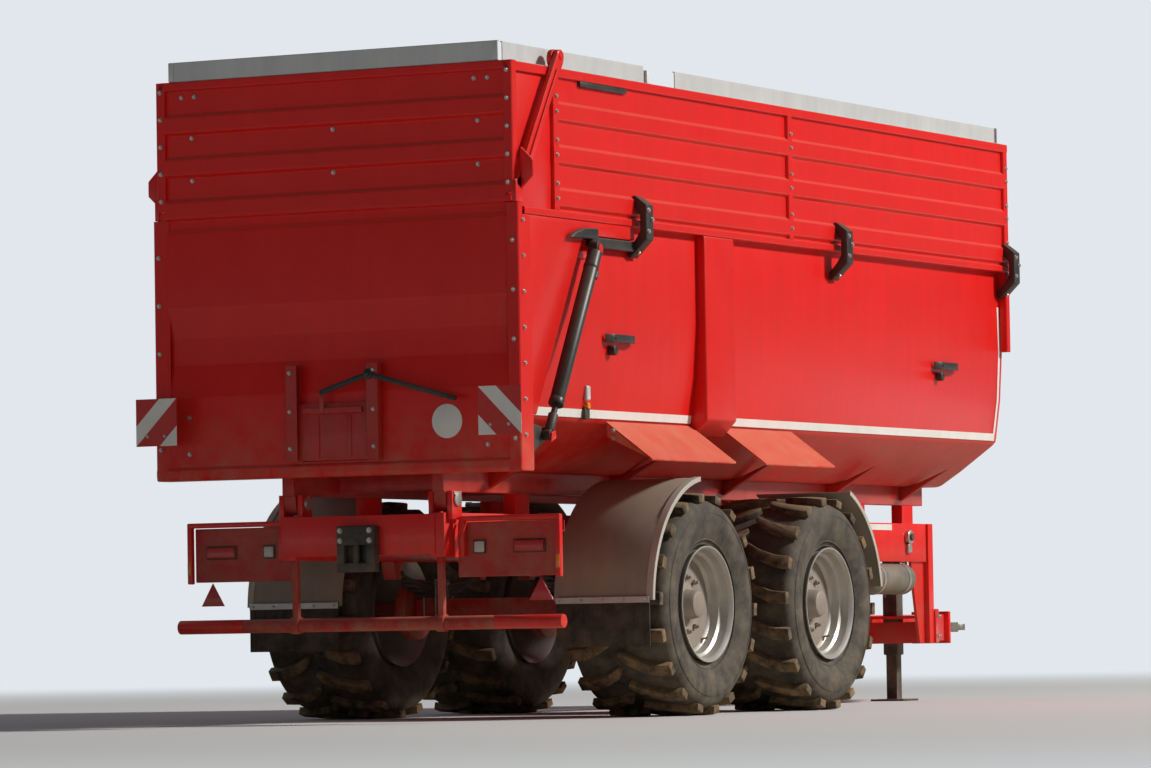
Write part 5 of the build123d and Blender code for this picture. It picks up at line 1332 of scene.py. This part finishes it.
# %% Front strips, pivots and jack handle
white_strip = box((5.95, -0.5625, 1.196), (6.72, -0.5595, 1.236))
dress_pair("frame_strips", [white_strip], "chassis", "chassis_paint", white_paint)
valve = bar((6.98, -0.559, 1.150), (6.98, -0.592, 1.150), 0.048, 32, soft=(0.006, 3))
valve_foot = box((6.95, -0.585, 1.040), (7.01, -0.559, 1.100), soft=(0.006, 3))
dress_pair("frame_valves", [valve, valve_foot], "chassis", "bare_steel", zinc)
valve_knob = bar((6.98, -0.5925, 1.150), (6.98, -0.606, 1.150), 0.026, soft=(0.004, 2))
dress_pair("valve_knobs", [valve_knob], "chassis", "black_steel", black_steel)
pin_parts = []
for y in (-0.597, -0.433):
    outward = -0.012 if y < -0.5 else 0.012
    pin_parts.append(bar((0.400, y, 1.325), (0.400, y + outward, 1.325), 0.042, 32, soft=(0.003, 2)))
pin_parts.append(box((0.355, -0.603, 1.352), (0.445, -0.597, 1.372), soft=(0.002, 1)))
foot_bolts = [(x, y, z) for x, y in ((7.44, -0.574), (7.56, -0.528), (7.68, -0.482)) for z in (0.46, 0.60)]
dress_pair("pivot_heads", pin_parts, "chassis", "bare_steel", zinc)
plate_bolts = repeat("foot_bolts", bolt_head((0.358, -0.934, 0), 0.012), foot_bolts)
dress_pair("foot_plate_bolts", [plate_bolts], "chassis", "bare_steel", zinc)
crank = [(0, -0.055, 0.99), (0, -0.110, 0.99), (0, -0.110, 0.90), (0, -0.165, 0.90)]
jack_x = 7.950
crank_parts = []
for start, end in zip(crank, crank[1:]):
    crank_parts.append(bar((jack_x, *start[1:]), (jack_x, *end[1:]), 0.009, 16))
crank_parts.append(bar((jack_x, -0.125, 0.90), (jack_x, -0.195, 0.90), 0.015, soft=(0.005, 3)))
crank_parts.append(box((jack_x - 0.058, -0.058, 1.030), (jack_x + 0.058, 0.058, 1.048), soft=(0.004, 2)))
dress(join("jack_crank", crank_parts), "chassis", "black_steel", black_steel)
print("foot plate bolts a side:", len(foot_bolts))

# %% [markdown]
# ## Tailgate cylinders
# A black cylinder on each side pulls the tailgate's lower corner up and out. Its barrel hangs from a
# pin under the rail, and its rod ends in an eye at the lug plate. Barrel, gland and rod are round, so
# they are bars along one line, and only the eyes lie across it.

# %% Barrel and rod
RAM_TOP = Vector((0.999, -1.245, 2.822))
RAM_FOOT = Vector((0.343, -1.245, 1.687))
RAM_ALONG = (RAM_FOOT - RAM_TOP).normalized()
RAM_LENGTH = (RAM_FOOT - RAM_TOP).length


def ram_bar(start, end, radius, sides=32, soft=()):
    """A bar on the cylinder's line, between two distances from its upper pin."""
    return bar(RAM_TOP + RAM_ALONG * start, RAM_TOP + RAM_ALONG * end, radius, sides, soft=soft)


def cross_bar(centre, low_y, high_y, radius, soft=()):
    """A bar across the trailer through a pin's centre."""
    return bar((centre.x, low_y, centre.z), (centre.x, high_y, centre.z), radius, 32, soft=soft)


tube_edge, eye_edge = (0.004, 2), (0.003, 2)
port = repeat("port", ram_bar(0.175, 0.215, 0.016, 16), [(0.030, -0.030, 0)])
ram_barrel = join("barrel", [ram_bar(0.030, 1.075, 0.0445, soft=tube_edge),
                             ram_bar(1.065, 1.105, 0.0475, soft=tube_edge),
                             ram_bar(0.120, 0.150, 0.0475, soft=tube_edge),
                             cross_bar(RAM_TOP, -1.275, -1.2115, 0.0455, soft=tube_edge), port])
ram_rod = join("rod", [ram_bar(0.060, 1.285, 0.0185), ram_bar(1.170, 1.285, 0.0300, soft=eye_edge),
                       cross_bar(RAM_FOOT, -1.2705, -1.2165, 0.0335, soft=eye_edge)])
latch = prism([(RAM_FOOT.x - 0.030, -1.2830, 1.640), (RAM_FOOT.x + 0.036, -1.2830, 1.668),
               (RAM_FOOT.x + 0.030, -1.2830, 1.712), (RAM_FOOT.x - 0.020, -1.2830, 1.700)], (0, 0.012, 0),
              soft=eye_edge)
RAM_PARTS = ((ram_barrel, "ram_barrel_", "gate_barrel_", "black_steel", black_steel, "gate_cylinder_barrel_"),
             (ram_rod, "ram_rod_", "gate_rod_", "chrome_rod", hose_black, "gate_cylinder_rod_"),
             (latch, "ram_latch_", "gate_rod_", "body_paint", bright_red, ""))
for side, place in (("right", Matrix.Identity(4)), ("left", MIRROR)):
    for seed, name, body, slot, material, node in RAM_PARTS:
        replaced = (node + side,) if node else ()
        dress(copy_at(seed, place, name + side), body + side, slot, material, *replaced)
discard(ram_barrel, ram_rod, latch)
print("cylinder length:", round(RAM_LENGTH, 3), "m")

# %% [markdown]
# ## What holds the cylinders
# The upper pin stands on a pad under the rail, and a black bar ties it to the first bracket's foot. A
# flat black horn reaches back from the pin along the corner plate; its curved back is a drawn outline.

# %% Pads, tie bars, horns and pin heads
pad = box((0.942, -1.1515, 2.765), (1.056, -1.1405, 2.879), soft=(0.003, 2))
pin = bar((RAM_TOP.x, -1.141, RAM_TOP.z), (RAM_TOP.x, -1.278, RAM_TOP.z), 0.016)
collar = bar((RAM_TOP.x, -1.276, RAM_TOP.z), (RAM_TOP.x, -1.2785, RAM_TOP.z), 0.026)
tie = box((1.050, -1.197, 2.832), (1.612, -1.150, 2.896), soft=(0.01, 3))
horn_outline = [(0.700, 2.872), (0.760, 2.906), (0.880, 2.938), (1.060, 2.945), (1.060, 2.880),
                (0.960, 2.876)]
horn = prism(across_y(-1.195, horn_outline), (0, -0.040, 0), soft=(0.009, 3))
dress_pair("ram_anchors", [pad, pin, collar], "bed", "body_paint", body_red, "gate_cylinder_anchors")
dress_pair("tie_bars", [tie, horn], "bed", "black_steel", black_steel)
print("horn corners:", len(horn_outline))

# %% [markdown]
# ## Arm knuckles
# Where each hinge arm meets the tailgate's rail it swells outwards in a short block with sloped ends,
# which the outline of a flat-topped hill gives at once.

# %% Knuckles
knuckle_line = [(1.2385, 3.125), (1.320, 3.200), (1.320, 3.292), (1.2385, 3.372)]
knuckle = prism([(0.060, -y, z) for y, z in knuckle_line], (0.025, 0, 0), soft=(0.008, 3))
dress_pair("arm_knuckles", [knuckle], "tailgate", "body_paint", body_red)
print("knuckle corners:", len(knuckle_line))

# %% [markdown]
# ## The telescopic cylinder
# Under the floor stands the cylinder that tips the body. It is a nest of tubes, and each tube slides
# out of the next, so it is worth having each stage as a piece of its own with a rounded lip.

# %% Stages
crisp("tip_barrel_tube", "tip_cylinder_barrel", "tip_barrel", "black_steel", black_steel, 0.003)
STAGES = 5
for stage in map(str, range(1, STAGES + 1)):
    crisp("tip_tube_" + stage, "tip_cylinder_stage_" + stage, "tip_stage_" + stage, "chrome_rod", chrome,
          0.0015)
print("stages:", STAGES)

# %% [markdown]
# ## Floor, light and camera
# The picture was taken with a long lens from far behind the right rear corner and from knee height,
# so the trailer looks almost like a drawing with little perspective. The camera stands at the place
# worked out from the photograph's edges and looks at the middle of the trailer. The sun came from
# the right and ahead: the long side is bright and the tailgate is in shade. Big soft lamps repeat that.

# %% The stage
deselect()
bpy.ops.mesh.primitive_plane_add(size=400, location=(0, 0, 0))
floor = bpy.context.object
floor.name = "floor"
BACKDROP = (0.76, 0.80, 0.84, 1)
floor_paint = bpy.data.materials.new("floor_paint")
floor_paint.use_nodes = True
tree = floor_paint.node_tree
paint = tree.nodes["Principled BSDF"]
seen = add(tree, "ShaderNodeLightPath").outputs["Is Camera Ray"]
feed(tree, paint.inputs["Base Color"], mixed(tree, seen, (0.50, 0.45, 0.36, 1), (0.70, 0.71, 0.72, 1)))
feed(tree, paint.inputs["Roughness"], 0.9)
reach = add(tree, "ShaderNodeVectorMath", {0: object_spot(tree)}, operation="LENGTH")
fade = ranged(tree, reach.outputs["Value"], 9.0, 30.0, interpolation_type="SMOOTHSTEP")
far = add(tree, "ShaderNodeEmission", {"Color": BACKDROP, "Strength": 1.0})
blend = add(tree, "ShaderNodeMixShader", {0: fade, 1: paint.outputs[0], 2: far.outputs[0]})
feed(tree, tree.nodes["Material Output"].inputs["Surface"], blend.outputs[0])
floor.data.materials.append(floor_paint)

world = bpy.data.worlds.new("studio")
bpy.context.scene.world = world
world.use_nodes = True
tree = world.node_tree
back = tree.nodes["Background"]
feed(tree, back.inputs["Color"], (0.78, 0.83, 0.90, 1))
feed(tree, back.inputs["Strength"], 0.11)
sky = add(tree, "ShaderNodeBackground", {"Color": BACKDROP, "Strength": 1.0})
seen = add(tree, "ShaderNodeLightPath").outputs["Is Camera Ray"]
choice = add(tree, "ShaderNodeMixShader", {0: seen, 1: back.outputs[0], 2: sky.outputs[0]})
feed(tree, tree.nodes["World Output"].inputs["Surface"], choice.outputs[0])


def lamp(name, place, target, size, watts, color):
    light = bpy.data.lights.new(name, "AREA")
    light.shape = "DISK"
    light.size = size
    light.energy = watts
    light.color = color
    holder = bpy.data.objects.new(name, light)
    bpy.context.scene.collection.objects.link(holder)
    holder.location = place
    holder.rotation_euler = (Vector(target) - Vector(place)).to_track_quat("-Z", "Y").to_euler()
    return holder


lamp("sun_side", (16.2, -39.6, 29.0), (0, 0, 2), 6.0, 27500, (1.0, 0.96, 0.90))
lamp("rear_fill", (-24, -2, 9), (0, 0, 2), 9, 30, (0.92, 0.96, 1.0))
lamp("left_fill", (2, 20, 10), (0, 0, 2), 9, 420, (0.95, 0.97, 1.0))

# %% The camera
CAMERA_PLACE = Vector((-34.1144, -17.0290, 0.4963))
YAW, PITCH, ROLL = math.radians(31.10722826), math.radians(3.47571386), math.radians(-0.78785478)
PHOTO_FOCAL = 2524.87
PHOTO_CENTRE = (575.5, 384)
AIM_PIXEL = (735, 424)
FRAME_PIXELS = 505
SENSOR = 36

forward = Vector((math.cos(YAW) * math.cos(PITCH), math.sin(YAW) * math.cos(PITCH), math.sin(PITCH)))
level = Vector((math.sin(YAW), -math.cos(YAW), 0))
upward = level.cross(forward)
right = math.cos(ROLL) * level + math.sin(ROLL) * upward
above = -math.sin(ROLL) * level + math.cos(ROLL) * upward
across, down = AIM_PIXEL[0] - PHOTO_CENTRE[0], AIM_PIXEL[1] - PHOTO_CENTRE[1]
aim = (forward * PHOTO_FOCAL + across * right - down * above).normalized()
side = (right - right.dot(aim) * aim).normalized()
top = side.cross(aim)
camera_data = bpy.data.cameras.new("photo_camera")
camera_data.sensor_width = SENSOR
camera_data.lens = PHOTO_FOCAL / FRAME_PIXELS * SENSOR
camera_data.clip_end = 500
camera = bpy.data.objects.new("photo_camera", camera_data)
bpy.context.scene.collection.objects.link(camera)
camera.matrix_world = Matrix.Translation(CAMERA_PLACE) @ Matrix((side, top, -aim)).transposed().to_4x4()
bpy.context.scene.camera = camera
bpy.context.scene.view_settings.view_transform = "Standard"
print("lens:", round(camera_data.lens, 1), "mm")

# %% The count of pieces
print("pieces:", len(PIECES))
